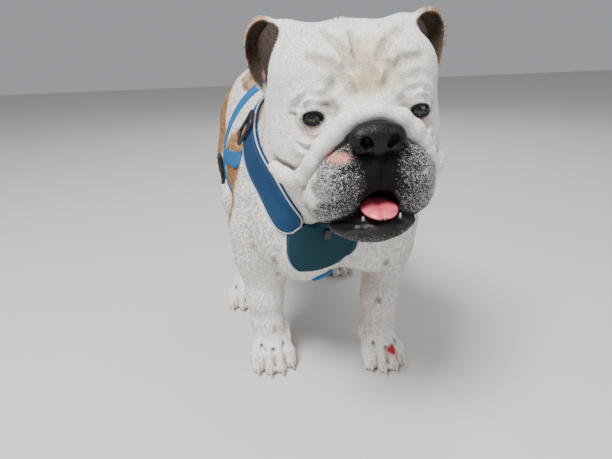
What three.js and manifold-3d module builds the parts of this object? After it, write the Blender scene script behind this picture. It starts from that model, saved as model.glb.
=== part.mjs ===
// A life-size standing english bulldog in a chest harness, as a museum-style still model.
// Millimetres, +Z up. The dog faces -Y, its left side is +X, and its feet rest on z = 0.
// The animal is one smooth field of blended forms. The field is meshed, then parted with
// thin cuts into the parts that a person would name.

import * as THREE from "three";
import { mergeVertices } from "three/addons/utils/BufferGeometryUtils.js";
import Module from "manifold-3d";

const wasm = await Module();
wasm.setup();

// Driving dimensions
const LOIN_HEIGHT = 428; // top of the back over the loin
const RIB_HALF_WIDTH = 125; // half the width of the barrel
const HIPS_X = -12; // the hips stand a little to the dog's right of the chest
const STANCE = 79; // half the distance between the front feet
const HIND_STANCE = 101; // half the distance between the hind feet
const LEAN = 14; // how far the front feet stand to the dog's right of the chest
const HEAD_AT = [-7, -105, 376]; // middle of the skull
const HEAD_YAW = (6 * Math.PI) / 180; // the face turns a little to the dog's right
const HEAD_ROLL = (-1.8 * Math.PI) / 180; // and its left side is held a little higher
const GAP = 0.3; // clearance between touching parts
const SHIFT = [0, -117, 0]; // puts the origin under the middle of the model

// Mesh cell sizes
const BODY_CELL = 12;
const LEG_CELL = 9;
const HEAD_CELL = 5;
const PAW_CELL = 4.5;
const EAR_CELL = 3.6;
const NOSE_CELL = 3.2;

// Most triangles in each whole, before it is parted
const MOST = { body: 2400, leg: 700, paw: 610, head: 4500, jaw: 700, nose: 420, ear: 620, tongue: 80 };

const V = (x, y, z) => new THREE.Vector3(x, y, z);

// Field primitives. Each returns a signed distance in millimetres, negative inside.
function ellipsoid(at, size, turn = [0, 0, 0]) {
  const inverse = new THREE.Matrix4()
    .makeRotationFromEuler(new THREE.Euler(...turn.map((a) => (a * Math.PI) / 180)))
    .invert().elements;
  const [a, b, c] = size;
  return (x, y, z) => {
    const dx = x - at[0];
    const dy = y - at[1];
    const dz = z - at[2];
    const px = inverse[0] * dx + inverse[4] * dy + inverse[8] * dz;
    const py = inverse[1] * dx + inverse[5] * dy + inverse[9] * dz;
    const pz = inverse[2] * dx + inverse[6] * dy + inverse[10] * dz;
    const k0 = Math.hypot(px / a, py / b, pz / c);
    const k1 = Math.hypot(px / (a * a), py / (b * b), pz / (c * c));
    return k1 < 1e-9 ? -Math.min(a, b, c) : (k0 * (k0 - 1)) / k1;
  };
}

function limb(from, to, r0, r1) {
  const [ax, ay, az] = from;
  const d = [to[0] - ax, to[1] - ay, to[2] - az];
  const length2 = d[0] * d[0] + d[1] * d[1] + d[2] * d[2];
  return (x, y, z) => {
    const t = ((x - ax) * d[0] + (y - ay) * d[1] + (z - az) * d[2]) / length2;
    const s = Math.min(1, Math.max(0, t));
    return Math.hypot(x - ax - s * d[0], y - ay - s * d[1], z - az - s * d[2]) - (r0 + (r1 - r0) * s);
  };
}

// A rope of flesh through hand-placed points, each [x, y, z, radius].
function rope(points) {
  const links = points.slice(1).map((p, i) => limb(points[i], p, points[i][3], p[3]));
  return (x, y, z) => links.reduce((best, link) => soften(best, link(x, y, z), 4), 1e3);
}

function soften(a, b, k) {
  const h = Math.max(k - Math.abs(a - b), 0) / k;
  return Math.min(a, b) - h * h * k * 0.25;
}

function carve(a, b, k) {
  return -soften(-a, b, k);
}

// Blends a list of [shape, blend radius] into one field.
function blend(list) {
  return (x, y, z) => list.reduce((d, [shape, k]) => soften(d, shape(x, y, z), k), 1e3);
}

function mirrored(shape) {
  return (x, y, z) => shape(Math.abs(x), y, z);
}

// Trunk and neck
const TRUNK = [
  [ellipsoid([0, 50, 252], [120, 118, 118]), 1],
  [ellipsoid([-4, 165, 272], [RIB_HALF_WIDTH, 150, 126]), 40],
  [ellipsoid([HIPS_X, 285, LOIN_HEIGHT - 102], [100, 110, 102]), 50],
  [ellipsoid([HIPS_X, 350, LOIN_HEIGHT - 112], [98, 82, 94]), 40],
  [ellipsoid([0, 20, 318], [92, 92, 76]), 50],
  [mirrored(ellipsoid([90, 34, 228], [43, 66, 92], [12, -6, 0])), 30],
  [mirrored(ellipsoid([50, -34, 216], [54, 42, 66])), 30],
  [limb([0, 20, 325], [-8, -62, 372], 92, 84), 40],
  [ellipsoid([-6, -82, 300], [58, 52, 58]), 36],
];

// The tail is a short, low-set crook.
const TAIL = rope([[-10, 425, 348, 17], [-6, 446, 335, 14], [2, 456, 316, 11], [10, 452, 303, 8]]);

// Legs. Each foot has its own place on the floor.
const FEET = {
  front_right: { side: -1, x: -STANCE - LEAN, y: 20, front: true },
  front_left: { side: 1, x: STANCE - LEAN, y: -18, front: true },
  hind_right: { side: -1, x: -HIND_STANCE - 5, y: 228, front: false },
  hind_left: { side: 1, x: HIND_STANCE - 5, y: 322, front: false },
};
const WRIST_Z = 60;

function frontLeg({ side, x, y }) {
  return [
    [limb([side * 93, 42, 205], [side * 92, 40, 158], 45, 38), 26],
    [limb([side * 92, 38, 158], [x + side * 3, y + 12, 98], 37, 26), 18],
    [limb([x + side * 3, y + 12, 98], [x + side, y + 9, WRIST_Z], 26, 22.5), 12],
    [limb([x + side, y + 9, WRIST_Z], [x, y, 30], 22.5, 24), 12],
  ];
}

function hindLeg({ side, x, y }) {
  const bend = (322 - y) / 94; // 0 for the foot that stands back, 1 for the one stepped forward
  const knee = [side * 92, 300 - 44 * bend, 196];
  const hock = [side * 92, y + 66 - 4 * bend, 104];
  return [
    [ellipsoid([side * 68 - 6, 348 - 12 * bend, 272], [42, 74, 96], [-14 - 8 * bend, 0, 0]), 34],
    [limb([side * 74, 325, 255], knee, 53, 40), 26],
    [limb(knee, hock, 40, 21), 16],
    [limb(hock, [x, y + 22, 34], 20, 19), 10],
  ];
}

// Paws: four knuckled toes in an arc, the middle pair furthest forward.
const TOES = [-1.5, -0.5, 0.5, 1.5];
const TOE_PITCH = 15.5;

function toePlace({ x, y, front }, n) {
  const reach = front ? 36 : 32;
  return [x + n * TOE_PITCH, y - reach + 9 * (Math.abs(n) - 0.5)];
}

function paw(foot) {
  const { x, y, front } = foot;
  const wide = front ? 31 : 27;
  const list = [[ellipsoid([x, y - 6, 20], [wide, 31, 23]), 10]];
  for (const n of TOES) {
    const [tx, ty] = toePlace(foot, n);
    list.push([limb([x + n * 12, y - 8, 30], [tx, ty + 9, 21], 11.5, 11), 5]);
    list.push([limb([tx, ty + 9, 20], [tx, ty, 9], 10.6, 10.4), 3]);
  }
  if (front) list.push([limb([x - foot.side * 25, y + 10, 52], [x - foot.side * 27, y + 2, 40], 7, 5.5), 6]);
  return list;
}

const legField = Object.fromEntries(
  Object.entries(FEET).map(([name, foot]) => {
    const list = foot.front ? frontLeg(foot) : hindLeg(foot);
    return [name, blend([...list, ...paw(foot)])];
  }),
);

const trunkField = blend(TRUNK);

function bodyField(x, y, z) {
  let d = soften(trunkField(x, y, z), TAIL(x, y, z), 16);
  for (const field of Object.values(legField)) d = soften(d, field(x, y, z), 22);
  return d;
}

// Head. Its forms are in the head's own frame: face towards -y, middle of the skull at 0.
const headMatrix = new THREE.Matrix4()
  .makeRotationFromEuler(new THREE.Euler(0, HEAD_ROLL, -HEAD_YAW))
  .setPosition(...HEAD_AT);
const headInverse = headMatrix.clone().invert().elements;

function inHead(shape) {
  const m = headInverse;
  return (x, y, z) =>
    shape(
      m[0] * x + m[4] * y + m[8] * z + m[12],
      m[1] * x + m[5] * y + m[9] * z + m[13],
      m[2] * x + m[6] * y + m[10] * z + m[14],
    );
}

const EYE = [53, -61, 8];
const EYE_RADIUS = 12.5;

const skullForms = blend([
  [ellipsoid([0, 18, 29], [91, 92, 72]), 1],
  [ellipsoid([40, -22, 47], [46, 46, 43]), 24],
  [ellipsoid([58, 28, 64], [34, 40, 34]), 20],
  [ellipsoid([72, 34, 79], [22, 20, 23], [0, 0, -12]), 18],
  [ellipsoid([56, -6, -24], [40, 58, 56]), 26],
  [ellipsoid([48, -56, 28], [26, 20, 12], [0, 12, -24]), 10],
  [ellipsoid([0, -62, -18], [50, 40, 42]), 24],
  [ellipsoid([52, -62, -20], [20, 18, 15]), 14],
  [ellipsoid([33, -86, -50], [33, 34, 40], [8, -10, 0]), 12],
  [ellipsoid([42, -64, -70], [27, 34, 32]), 16],
  [ellipsoid([0, -88, -40], [30, 31, 30]), 12],
]);
const NOSE_ROPE = rope([
  [-92, -32, -46, 8],
  [-84, -46, -52, 9],
  [-74, -62, -55, 9.5],
  [-66, -76, -47, 9.5],
  [-59, -88, -32, 9.5],
  [-49, -92, -17, 10],
  [-37, -95, -4, 10.5],
  [-26, -98, 6, 10],
  [-15, -100, 11, 9.5],
  [5, -100, 14, 8.5],
  [27, -98, 6, 10],
  [41, -94, -7, 10.5],
  [50, -90, -19, 10],
  [56, -88, -30, 9.5],
  [61, -84, -40, 9.5],
  [66, -74, -50, 9],
  [76, -58, -53, 9],
  [88, -40, -46, 8],
]);
const ROPE_DITCH = 2.5; // how far the hollow beside the rope reaches past it
const jawForm = blend([
  [ellipsoid([0, -78, -102], [41, 38, 18]), 1],
  [rope([[0, -112, -97, 7], [20, -107, -99, 7.5], [38, -88, -99, 7.5]]), 8],
  [ellipsoid([0, -45, -84], [46, 48, 26]), 16],
]);
const noseForm = blend([
  [ellipsoid([0, -113, -7], [24.5, 13, 14]), 1],
  [ellipsoid([16, -114, -10], [10.5, 12, 12]), 6],
  [ellipsoid([0, -111, -18], [9, 9, 8]), 6],
]);
const NOSTRIL = ellipsoid([13.5, -127, -12], [5.8, 12, 7.6], [0, 24, 18]);
const EYE_SLIT = ellipsoid([EYE[0] + 1, EYE[1] - 14, EYE[2]], [12, 17, 7], [0, -16, 20]);
const LID = ellipsoid(EYE, [17.5, 15.5, 15]);
const MOUTH_SIDE = 5; // the mouth opens this far to the dog's left of the middle
const LIP_CLEFT = rope([
  [0, -113.5, -24, 2],
  [0, -118.5, -36, 2.4],
  [0, -118.5, -46, 2.8],
  [0, -117, -54, 3.2],
]);
const MOUTH = rope([[0, -124, -54, 3], [0, -121, -65, 8], [0, -115, -77, 16.5], [0, -90, -80, 18]]);
const MOUTH_LINE = rope([[0, -122, -84, 7], [20, -116, -89, 5], [38, -102, -95, 3.5], [54, -82, -98, 3]]);

function skullLocal(x, y, z) {
  const ax = Math.abs(x);
  let d = skullForms(ax, y, z);
  d = soften(d, LID(ax, y, z), 5);
  // a furrow down the middle of the forehead, and the wrinkles over the brow
  const furrow = 5 * Math.exp(-(ax * ax) / 90) * Math.exp(-((z - 62) ** 2) / 1500) * (y < 20 ? 1 : 0);
  d += furrow;
  const ropeField = NOSE_ROPE(x, y, z);
  d = carve(d, ropeField - ROPE_DITCH, 4);
  d = soften(d, ropeField, 2);
  const lip = Math.abs(x - MOUTH_SIDE);
  d = carve(d, LIP_CLEFT(lip, y, z), 3);
  d = carve(d, MOUTH(lip, y, z), 4);
  d = carve(d, MOUTH_LINE(lip, y, z), 3);
  return carve(d, EYE_SLIT(ax, y, z), 2);
}

// Rose ears: a thin cup that opens forward and outward, its rim folded back at the top.
const EAR_AT = { right: [86, 34, 65], left: [91, 30, 65] };
const EAR_TURN = [0, 8, -22];

function earShape([x, y, z]) {
  const outer = ellipsoid([x, y, z], [27, 24, 44], EAR_TURN);
  const hollow = ellipsoid([x + 1, y - 14, z - 1], [23.5, 27, 38], EAR_TURN);
  const burr = rope([[x - 4, y - 9, z - 10, 6], [x + 4, y - 11, z - 22, 7], [x + 1, y - 13, z - 34, 6.5]]);
  return (a, b, c) => soften(carve(outer(a, b, c), hollow(a, b, c), 3), burr(a, b, c), 5);
}

const skullField = inHead(skullLocal);
const noseField = inHead((x, y, z) => {
  const ax = Math.abs(x);
  return carve(noseForm(ax, y, z), NOSTRIL(ax, y, z), 2);
});
const jawField = inHead((x, y, z) => jawForm(Math.abs(x), y, z));
const TONGUE = ellipsoid([3, -104, -79], [18.5, 22, 4.6], [14, 0, 0]);

// The whole animal near the head, so that head and neck share one surface.
function headWithNeck(x, y, z) {
  return soften(skullField(x, y, z), trunkField(x, y, z), 22);
}

// Grid lines from the first stop to the last, each stretch with its own step.
function lines(...stops) {
  const made = [stops[0]];
  for (let s = 1; s < stops.length; s += 2) {
    const from = made.at(-1);
    const count = Math.ceil((stops[s + 1] - from) / stops[s]);
    for (let n = 1; n <= count; n++) made.push(from + ((stops[s + 1] - from) * n) / count);
  }
  return made;
}

// Meshing. One vertex stands in each cell that the surface crosses, pulled onto the surface.
function netted(field, grid, most) {
  const count = grid.map((lines) => lines.length);
  const [nx, ny, nz] = count;
  const index = (i, j, k) => (k * ny + j) * nx + i;
  const values = new Float64Array(nx * ny * nz);
  const place = (i, j, k) => [grid[0][i], grid[1][j], grid[2][k]];
  const cell = grid[0][1] - grid[0][0];
  for (let k = 0; k < nz; k++)
    for (let j = 0; j < ny; j++)
      for (let i = 0; i < nx; i++) {
        const edge = i === 0 || j === 0 || k === 0 || i === nx - 1 || j === ny - 1 || k === nz - 1;
        const value = field(...place(i, j, k));
        values[index(i, j, k)] = edge ? Math.max(value, cell * 0.4) : value;
      }
  composed(values, count, cell);
  const corners = [0, 1, 2, 3, 4, 5, 6, 7].map((n) => [n & 1, (n >> 1) & 1, n >> 2]);
  const edges = [];
  for (let a = 0; a < 8; a++)
    for (const bit of [1, 2, 4]) if (!(a & bit)) edges.push([a, a | bit]);
  const vertexAt = new Map();
  const points = [];
  for (let k = 0; k < nz - 1; k++)
    for (let j = 0; j < ny - 1; j++)
      for (let i = 0; i < nx - 1; i++) {
        const v = corners.map(([a, b, c]) => values[index(i + a, j + b, k + c)]);
        const inside = v.filter((s) => s < 0).length;
        if (inside === 0 || inside === 8) continue;
        const sum = [0, 0, 0];
        let crossings = 0;
        for (const [a, b] of edges) {
          if (v[a] < 0 === v[b] < 0) continue;
          const t = v[a] / (v[a] - v[b]);
          for (let n = 0; n < 3; n++) sum[n] += corners[a][n] + t * (corners[b][n] - corners[a][n]);
          crossings++;
        }
        const far = place(i + 1, j + 1, k + 1);
        const at = place(i, j, k).map((p, n) => p + ((far[n] - p) * sum[n]) / crossings);
        vertexAt.set(index(i, j, k), points.length / 3);
        points.push(...pulled(field, at, cell));
      }
  const faces = [];
  const quad = (a, b, c, d, flip) => {
    const [p, q, r, s] = [a, b, c, d].map((n) => vertexAt.get(n));
    if (flip) faces.push(p, r, q, p, s, r);
    else faces.push(p, q, r, p, r, s);
  };
  for (let k = 0; k < nz - 1; k++)
    for (let j = 0; j < ny - 1; j++)
      for (let i = 0; i < nx - 1; i++) {
        const here = values[index(i, j, k)] < 0;
        if (j && k && here !== values[index(i + 1, j, k)] < 0)
          quad(index(i, j - 1, k - 1), index(i, j, k - 1), index(i, j, k), index(i, j - 1, k), !here);
        if (i && k && here !== values[index(i, j + 1, k)] < 0)
          quad(index(i - 1, j, k - 1), index(i - 1, j, k), index(i, j, k), index(i, j, k - 1), !here);
        if (i && j && here !== values[index(i, j, k + 1)] < 0)
          quad(index(i - 1, j - 1, k), index(i, j - 1, k), index(i, j, k), index(i - 1, j, k), !here);
      }
  return thinned({ points, faces }, most);
}

function closedBody({ points, faces }) {
  return new wasm.Manifold(
    new wasm.Mesh({
      numProp: 3,
      vertProperties: new Float32Array(points),
      triVerts: new Uint32Array(faces),
    }),
  );
}

// The same mesh with every vertex moved out along its normal.
function grown({ points, faces }, distance) {
  const geometry = new THREE.BufferGeometry();
  geometry.setAttribute("position", new THREE.BufferAttribute(new Float32Array(points), 3));
  geometry.setIndex(faces);
  geometry.computeVertexNormals();
  const normals = geometry.getAttribute("normal").array;
  return { points: points.map((c, n) => c + distance * normals[n]), faces };
}

// Quadric edge collapse down to at most `most` triangles: flat stretches lose theirs first.
// An edge goes only if its ends share exactly two neighbours and no face turns over.
function thinned({ points, faces }, most) {
  const at = [];
  for (let n = 0; n < points.length; n += 3) at.push(points.slice(n, n + 3));
  const face = [];
  for (let n = 0; n < faces.length; n += 3) face.push(faces.slice(n, n + 3));
  const around = at.map(() => new Set());
  const planeOf = ([a, b, c]) => {
    const u = at[b].map((v, n) => v - at[a][n]);
    const w = at[c].map((v, n) => v - at[a][n]);
    const cross = [u[1] * w[2] - u[2] * w[1], u[2] * w[0] - u[0] * w[2], u[0] * w[1] - u[1] * w[0]];
    const size = Math.hypot(...cross) || 1e-12;
    return { normal: cross.map((v) => v / size), area: size / 2 };
  };
  const quadric = at.map(() => new Float64Array(10));
  face.forEach((f, n) => {
    const { normal, area } = planeOf(f);
    const p = [...normal, -normal.reduce((sum, v, m) => sum + v * at[f[0]][m], 0)];
    let slot = 0;
    for (let i = 0; i < 4; i++)
      for (let j = i; j < 4; j++, slot++) for (const v of f) quadric[v][slot] += area * p[i] * p[j];
    for (const v of f) around[v].add(n);
  });
  const cost = (q, [x, y, z]) =>
    q[0] * x * x + 2 * q[1] * x * y + 2 * q[2] * x * z + 2 * q[3] * x + q[4] * y * y +
    2 * q[5] * y * z + 2 * q[6] * y + q[7] * z * z + 2 * q[8] * z + q[9];
  const neighbours = (v) => new Set([...around[v]].flatMap((n) => face[n]).filter((w) => w !== v));
  const stamp = at.map(() => 0);
  const heap = [];
  const push = (entry) => {
    let n = heap.push(entry) - 1;
    while (n > 0 && heap[(n - 1) >> 1].cost > heap[n].cost) {
      [heap[n], heap[(n - 1) >> 1]] = [heap[(n - 1) >> 1], heap[n]];
      n = (n - 1) >> 1;
    }
  };
  const pop = () => {
    const top = heap[0];
    const last = heap.pop();
    if (heap.length) {
      heap[0] = last;
      for (let n = 0; ; ) {
        const [l, r] = [2 * n + 1, 2 * n + 2];
        let m = n;
        if (l < heap.length && heap[l].cost < heap[m].cost) m = l;
        if (r < heap.length && heap[r].cost < heap[m].cost) m = r;
        if (m === n) break;
        [heap[n], heap[m]] = [heap[m], heap[n]];
        n = m;
      }
    }
    return top;
  };
  const offer = (a, b) => {
    const q = quadric[a].map((v, n) => v + quadric[b][n]);
    const middle = at[a].map((v, n) => (v + at[b][n]) / 2);
    const choices = [middle, at[a], at[b]].map((to) => ({ to, price: cost(q, to) }));
    const best = choices.reduce((x, y) => (y.price < x.price ? y : x));
    const length2 = at[a].reduce((sum, v, n) => sum + (v - at[b][n]) ** 2, 0);
    push({ cost: best.price + 1e-4 * length2 * length2, to: best.to, a, b, sa: stamp[a], sb: stamp[b] });
  };
  at.forEach((_, a) => neighbours(a).forEach((b) => a < b && offer(a, b)));
  let left = face.length;
  while (left > most && heap.length) {
    const { to, a, b, sa, sb } = pop();
    if (stamp[a] !== sa || stamp[b] !== sb) continue;
    const [na, nb] = [neighbours(a), neighbours(b)];
    const shared = [...na].filter((v) => nb.has(v));
    if (shared.length !== 2 || na.size + nb.size < 9) continue;
    const kept = [...around[a], ...around[b]].filter((n) => !(face[n].includes(a) && face[n].includes(b)));
    const before = kept.map((n) => planeOf(face[n]).normal);
    const [pa, pb] = [at[a], at[b]];
    at[a] = to;
    at[b] = to;
    const turned = kept.some((n, m) => {
      const { normal, area } = planeOf(face[n]);
      return area < 1e-3 || normal.reduce((sum, v, i) => sum + v * before[m][i], 0) < 0.35;
    });
    if (turned) {
      at[a] = pa;
      at[b] = pb;
      continue;
    }
    for (const n of [...around[b]]) {
      if (face[n].includes(a)) {
        for (const v of face[n]) around[v].delete(n);
        left--;
      } else {
        face[n] = face[n].map((v) => (v === b ? a : v));
        around[a].add(n);
      }
    }
    around[b].clear();
    quadric[a] = quadric[a].map((v, n) => v + quadric[b][n]);
    stamp[a]++;
    stamp[b] = -1;
    for (const v of neighbours(a)) {
      stamp[v]++;
    }
    for (const v of neighbours(a)) for (const w of neighbours(v)) if (w !== a) offer(v, w);
    for (const v of neighbours(a)) offer(a, v);
  }
  const live = new Set(around.flatMap((set) => [...set]));
  const used = at.map((_, v) => v).filter((v) => around[v].size);
  const renamed = new Map(used.map((v, n) => [v, n]));
  return {
    points: used.flatMap((v) => at[v]),
    faces: [...live].flatMap((n) => face[n].map((v) => renamed.get(v))),
  };
}

// Fills the corners of the grid where two sheets of the surface would share an edge or a point.
function composed(values, [nx, ny, nz], cell) {
  const step = [1, nx, nx * ny];
  const fill = (around) => {
    const outside = around.filter((n) => values[n] >= 0);
    const nearest = outside.reduce((a, b) => (values[a] < values[b] ? a : b));
    values[nearest] = -0.04 * cell;
  };
  let changed = true;
  while (changed) {
    changed = false;
    for (let k = 1; k < nz - 2; k++)
      for (let j = 1; j < ny - 2; j++)
        for (let i = 1; i < nx - 2; i++) {
          const n = i + j * step[1] + k * step[2];
          for (const [u, v] of [[0, 1], [1, 2], [0, 2]]) {
            const face = [n, n + step[u], n + step[u] + step[v], n + step[v]];
            const [a, b, c, d] = face.map((m) => values[m] < 0);
            if (a === c && b === d && a !== b) {
              fill(face);
              changed = true;
            }
          }
          const cube = [0, 1, 2, 3, 4, 5, 6, 7].map(
            (m) => n + (m & 1) * step[0] + ((m >> 1) & 1) * step[1] + (m >> 2) * step[2],
          );
          const signs = cube.map((m) => values[m] < 0);
          const count = signs.filter(Boolean).length;
          for (let m = 0; m < 4; m++) {
            const pair = signs[m] === signs[7 - m];
            if (pair && ((count === 2 && signs[m]) || (count === 6 && !signs[m]))) {
              fill(cube);
              changed = true;
            }
          }
        }
  }
}

function slope(field, [x, y, z], e = 0.5) {
  const g = [
    field(x + e, y, z) - field(x - e, y, z),
    field(x, y + e, z) - field(x, y - e, z),
    field(x, y, z + e) - field(x, y, z - e),
  ];
  const size = Math.hypot(...g) || 1;
  return g.map((c) => c / size);
}

function pulled(field, at, cell) {
  const normal = slope(field, at);
  const far = Math.max(-cell * 0.35, Math.min(cell * 0.35, field(...at)));
  return at.map((c, n) => c - normal[n] * far);
}

// Half of space behind a plane, as a large box with one face on it.
const HUGE = 2400;
function beyond(point, normal, clearance = GAP / 2) {
  const n = V(...normal).normalize();
  const box = new THREE.BoxGeometry(HUGE, HUGE, HUGE);
  const turn = new THREE.Matrix4().makeRotationFromQuaternion(
    new THREE.Quaternion().setFromUnitVectors(V(0, 0, 1), n),
  );
  box.translate(0, 0, HUGE / 2 + clearance);
  box.applyMatrix4(turn.setPosition(...point));
  return solid(box);
}

function behind(point, normal, clearance = GAP / 2) {
  return beyond(point, normal.map((c) => -c), clearance);
}

function solid(geometry) {
  const bare = new THREE.BufferGeometry().setAttribute("position", geometry.getAttribute("position"));
  bare.setIndex(geometry.index);
  const merged = mergeVertices(bare, 1e-3);
  return new wasm.Manifold(
    new wasm.Mesh({
      numProp: 3,
      vertProperties: merged.attributes.position.array,
      triVerts: new Uint32Array(merged.index.array),
    }),
  );
}

const within = (whole, ...cells) => cells.reduce((left, cell) => left.intersect(cell), whole);
const without = (whole, ...cells) => cells.reduce((left, cell) => left.subtract(cell), whole);

// A band laid on the body along a path: `lift` from the skin inside and outside, `wide` across.
const BAND_ACROSS = 2;
function band(path, wide, inside, outside, steps, taper = () => 1) {
  const curve = new THREE.CatmullRomCurve3(path.map((p) => V(...p)));
  const rows = steps + 1;
  const ring = 2 * (BAND_ACROSS + 1);
  const points = [];
  for (let s = 0; s < rows; s++) {
    const t = s / steps;
    const middle = dropped(curve.getPointAt(t).toArray(), 0);
    const along = curve.getTangentAt(t);
    const out = V(...slope(bodyField, middle, 4));
    const across = V(0, 0, 0).crossVectors(out, along).normalize();
    const half = (wide / 2) * taper(t);
    const offsets = Array.from({ length: BAND_ACROSS + 1 }, (_, n) => half * ((2 * n) / BAND_ACROSS - 1));
    const edge = (v, lift) => dropped(V(...middle).addScaledVector(across, v).toArray(), lift);
    for (const v of offsets) points.push(...edge(v, outside));
    for (const v of offsets.slice().reverse()) points.push(...edge(v, inside));
  }
  const faces = [];
  for (let s = 0; s < rows - 1; s++)
    for (let n = 0; n < ring; n++) {
      const a = s * ring + n;
      const b = s * ring + ((n + 1) % ring);
      const c = a + ring;
      const d = b + ring;
      faces.push(a, c, b, b, c, d);
    }
  for (const [s, flip] of [[0, true], [rows - 1, false]])
    for (let n = 0; n < BAND_ACROSS; n++) {
      const a = s * ring + n;
      const b = a + 1;
      const c = s * ring + ring - 1 - n;
      const d = c - 1;
      faces.push(...(flip ? [a, b, c, b, d, c] : [a, c, b, b, c, d]));
    }
  return closedBody({ points, faces }).volume() > 0 ? { points, faces } : { points, faces: faces.reverse() };
}

function dropped(point, lift) {
  let p = point;
  for (let n = 0; n < 6; n++) {
    const g = slope(bodyField, p, 1);
    const d = bodyField(...p) - lift;
    p = p.map((c, i) => c - g[i] * d);
  }
  return p;
}

// Harness: a bib on the chest, padded straps over the shoulders, and webbing round the ribs.
const PAD = 4.5;
const WEB = 3;
const SUNK = -1.4; // the webbing presses this far into the coat
const GIRTH_Y = 190;
const flip = (path) => path.map(([x, y, z]) => [-x, y, z]);
const STRAP_ROUND = 0.08; // the share of a strap that its rounded end takes up
const STRAP_RIGHT = [
  [-68, -76, 236],
  [-88, -56, 270],
  [-104, -20, 312],
  [-104, 20, 348],
  [-84, 62, 380],
  [-50, 92, 394],
];
const STRAP_LEFT = [
  [20, -80, 236],
  [46, -76, 266],
  [78, -62, 296],
  [98, -24, 328],
  [92, 34, 362],
  [56, 92, 392],
];
const BIB_PATH = [[-31, -84, 256], [-34, -82, 230], [-37, -74, 204], [-38, -62, 179]];
const KEEL_PATH = [[-33, -48, 168], [-20, 0, 140], [-12, 60, 134], [-6, GIRTH_Y - 14, 142]];
const GIRTH_HALF = [
  [-16, GIRTH_Y, 402],
  [-88, GIRTH_Y, 376],
  [-130, GIRTH_Y, 296],
  [-120, GIRTH_Y, 204],
  [-66, GIRTH_Y, 146],
  [-13, GIRTH_Y, 140],
];
const SIDE_PATH = [[-112, 32, 305], [-130, 90, 296], [-132, 140, 290], [-128, GIRTH_Y - 15, 288]];
const SADDLE_PATH = [[0, 58, 394], [-2, 100, 398], [-4, 140, 402], [-5, GIRTH_Y - 14, 404]];
const strapEnd = (t) => Math.sqrt(1 - 0.85 * Math.max(0, 1 - t / STRAP_ROUND) ** 2);
const strapTaper = (t) => Math.min(strapEnd(t), Math.max(0.6, Math.min(1, 1 - 2 * (t - 0.6))));
const bibTaper = (t) => Math.sqrt(1 - 0.64 * (Math.max(0, t - 0.6) / 0.4) ** 2);
const bands = {
  harness_bib: [BIB_PATH, 100, PAD, 10, bibTaper],
  harness_keel: [KEEL_PATH, 28, WEB, 7],
  harness_saddle: [SADDLE_PATH, 60, PAD, 6],
  harness_strap_right: [STRAP_RIGHT, 40, PAD, 14, strapTaper],
  harness_strap_left: [STRAP_LEFT, 40, PAD, 14, strapTaper],
  harness_girth_right: [GIRTH_HALF, 25, WEB, 14],
  harness_girth_left: [flip(GIRTH_HALF), 25, WEB, 14],
  harness_side_right: [SIDE_PATH, 22, WEB, 8],
  harness_side_left: [flip(SIDE_PATH), 22, WEB, 8],
};

// Meshed wholes, before they are parted
const bodyGrid = [
  lines(-180, BODY_CELL, 180),
  lines(-160, BODY_CELL, 490),
  lines(-30, BODY_CELL, 460),
];
const headGrid = [
  lines(-145, HEAD_CELL, 130),
  lines(-262, HEAD_CELL, 50),
  lines(225, HEAD_CELL, 505),
];
const noseGrid = [lines(-60, NOSE_CELL, 40), lines(-260, NOSE_CELL, -180), lines(320, NOSE_CELL, 410)];
const jawGrid = [lines(-90, HEAD_CELL, 70), lines(-260, HEAD_CELL, -80), lines(235, HEAD_CELL, 350)];
const SEAM = GAP * 1.8; // how far a part is grown before it is cut from its neighbour
const BAND_SEAM = GAP * 3; // the same for the sharp-edged bands
const tongueGrid = [lines(-60, 3.5, 40), lines(-260, 3.5, -160), lines(275, 3, 335)];
const wholes = {
  body: netted(bodyField, bodyGrid, MOST.body),
  head: netted(headWithNeck, headGrid, MOST.head),
  nose: netted(noseField, noseGrid, MOST.nose),
  jaw: netted(jawField, jawGrid, MOST.jaw),
  tongue: netted(inHead(TONGUE), tongueGrid, MOST.tongue),
};
const body = closedBody(wholes.body);
const headGrown = closedBody(grown(wholes.head, SEAM));
const jawGrown = closedBody(grown(wholes.jaw, SEAM));
const noseGrown = closedBody(grown(wholes.nose, SEAM));

// Cuts between the named parts
const NAPE_CUT = [[0, -20, 440], [0, -0.9, 0.436]];
const NECK_CUT = [[0, 45, 420], [0, -0.85, 0.527]];
const PAW_CUT_Z = 47;
const ELBOW_CUT = { point: [30, 0, 115], normal: [0.735, 0, -0.678], from: -90, to: 94 };
const THIGH_CUT = { point: [36, 0, 192], normal: [0.88, 0, -0.47], from: 222, to: 480 };

function legCell({ side, front }) {
  const cut = front ? ELBOW_CUT : THIGH_CUT;
  const point = [side * cut.point[0], 0, cut.point[2]];
  const normal = [side * cut.normal[0], 0, cut.normal[2]];
  const ends = (clearance) => [
    beyond(point, normal, clearance),
    beyond([0, cut.from, 0], [0, 1, 0], clearance),
    behind([0, cut.to, 0], [0, 1, 0], clearance),
  ];
  const meet = (cells) => cells.reduce((a, b) => a.intersect(b));
  const outer = beyond([0, 0, 0], [side, 0, 0]);
  return { own: meet(ends(GAP / 2)), grown: meet(ends(-GAP / 2)), paw: outer };
}

// A claw: a blunt cone sunk in the toe, curving down to just above the floor.
const CLAW = { root: 4, length: 21, sides: 6, dip: 38, height: 17 };
function claw(x, y, n) {
  const cone = new THREE.ConeGeometry(CLAW.root, CLAW.length, CLAW.sides);
  cone.translate(0, CLAW.length / 2, 0).rotateX(Math.PI + (CLAW.dip * Math.PI) / 180);
  cone.rotateZ((n * 5 * Math.PI) / 180);
  cone.translate(x, y - 3, CLAW.height);
  return solid(cone);
}

const parts = {};
const cells = Object.fromEntries(Object.entries(FEET).map(([name, foot]) => [name, legCell(foot)]));
const tailCut = [[0, 428, 0], [0, 1, 0]];

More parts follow.
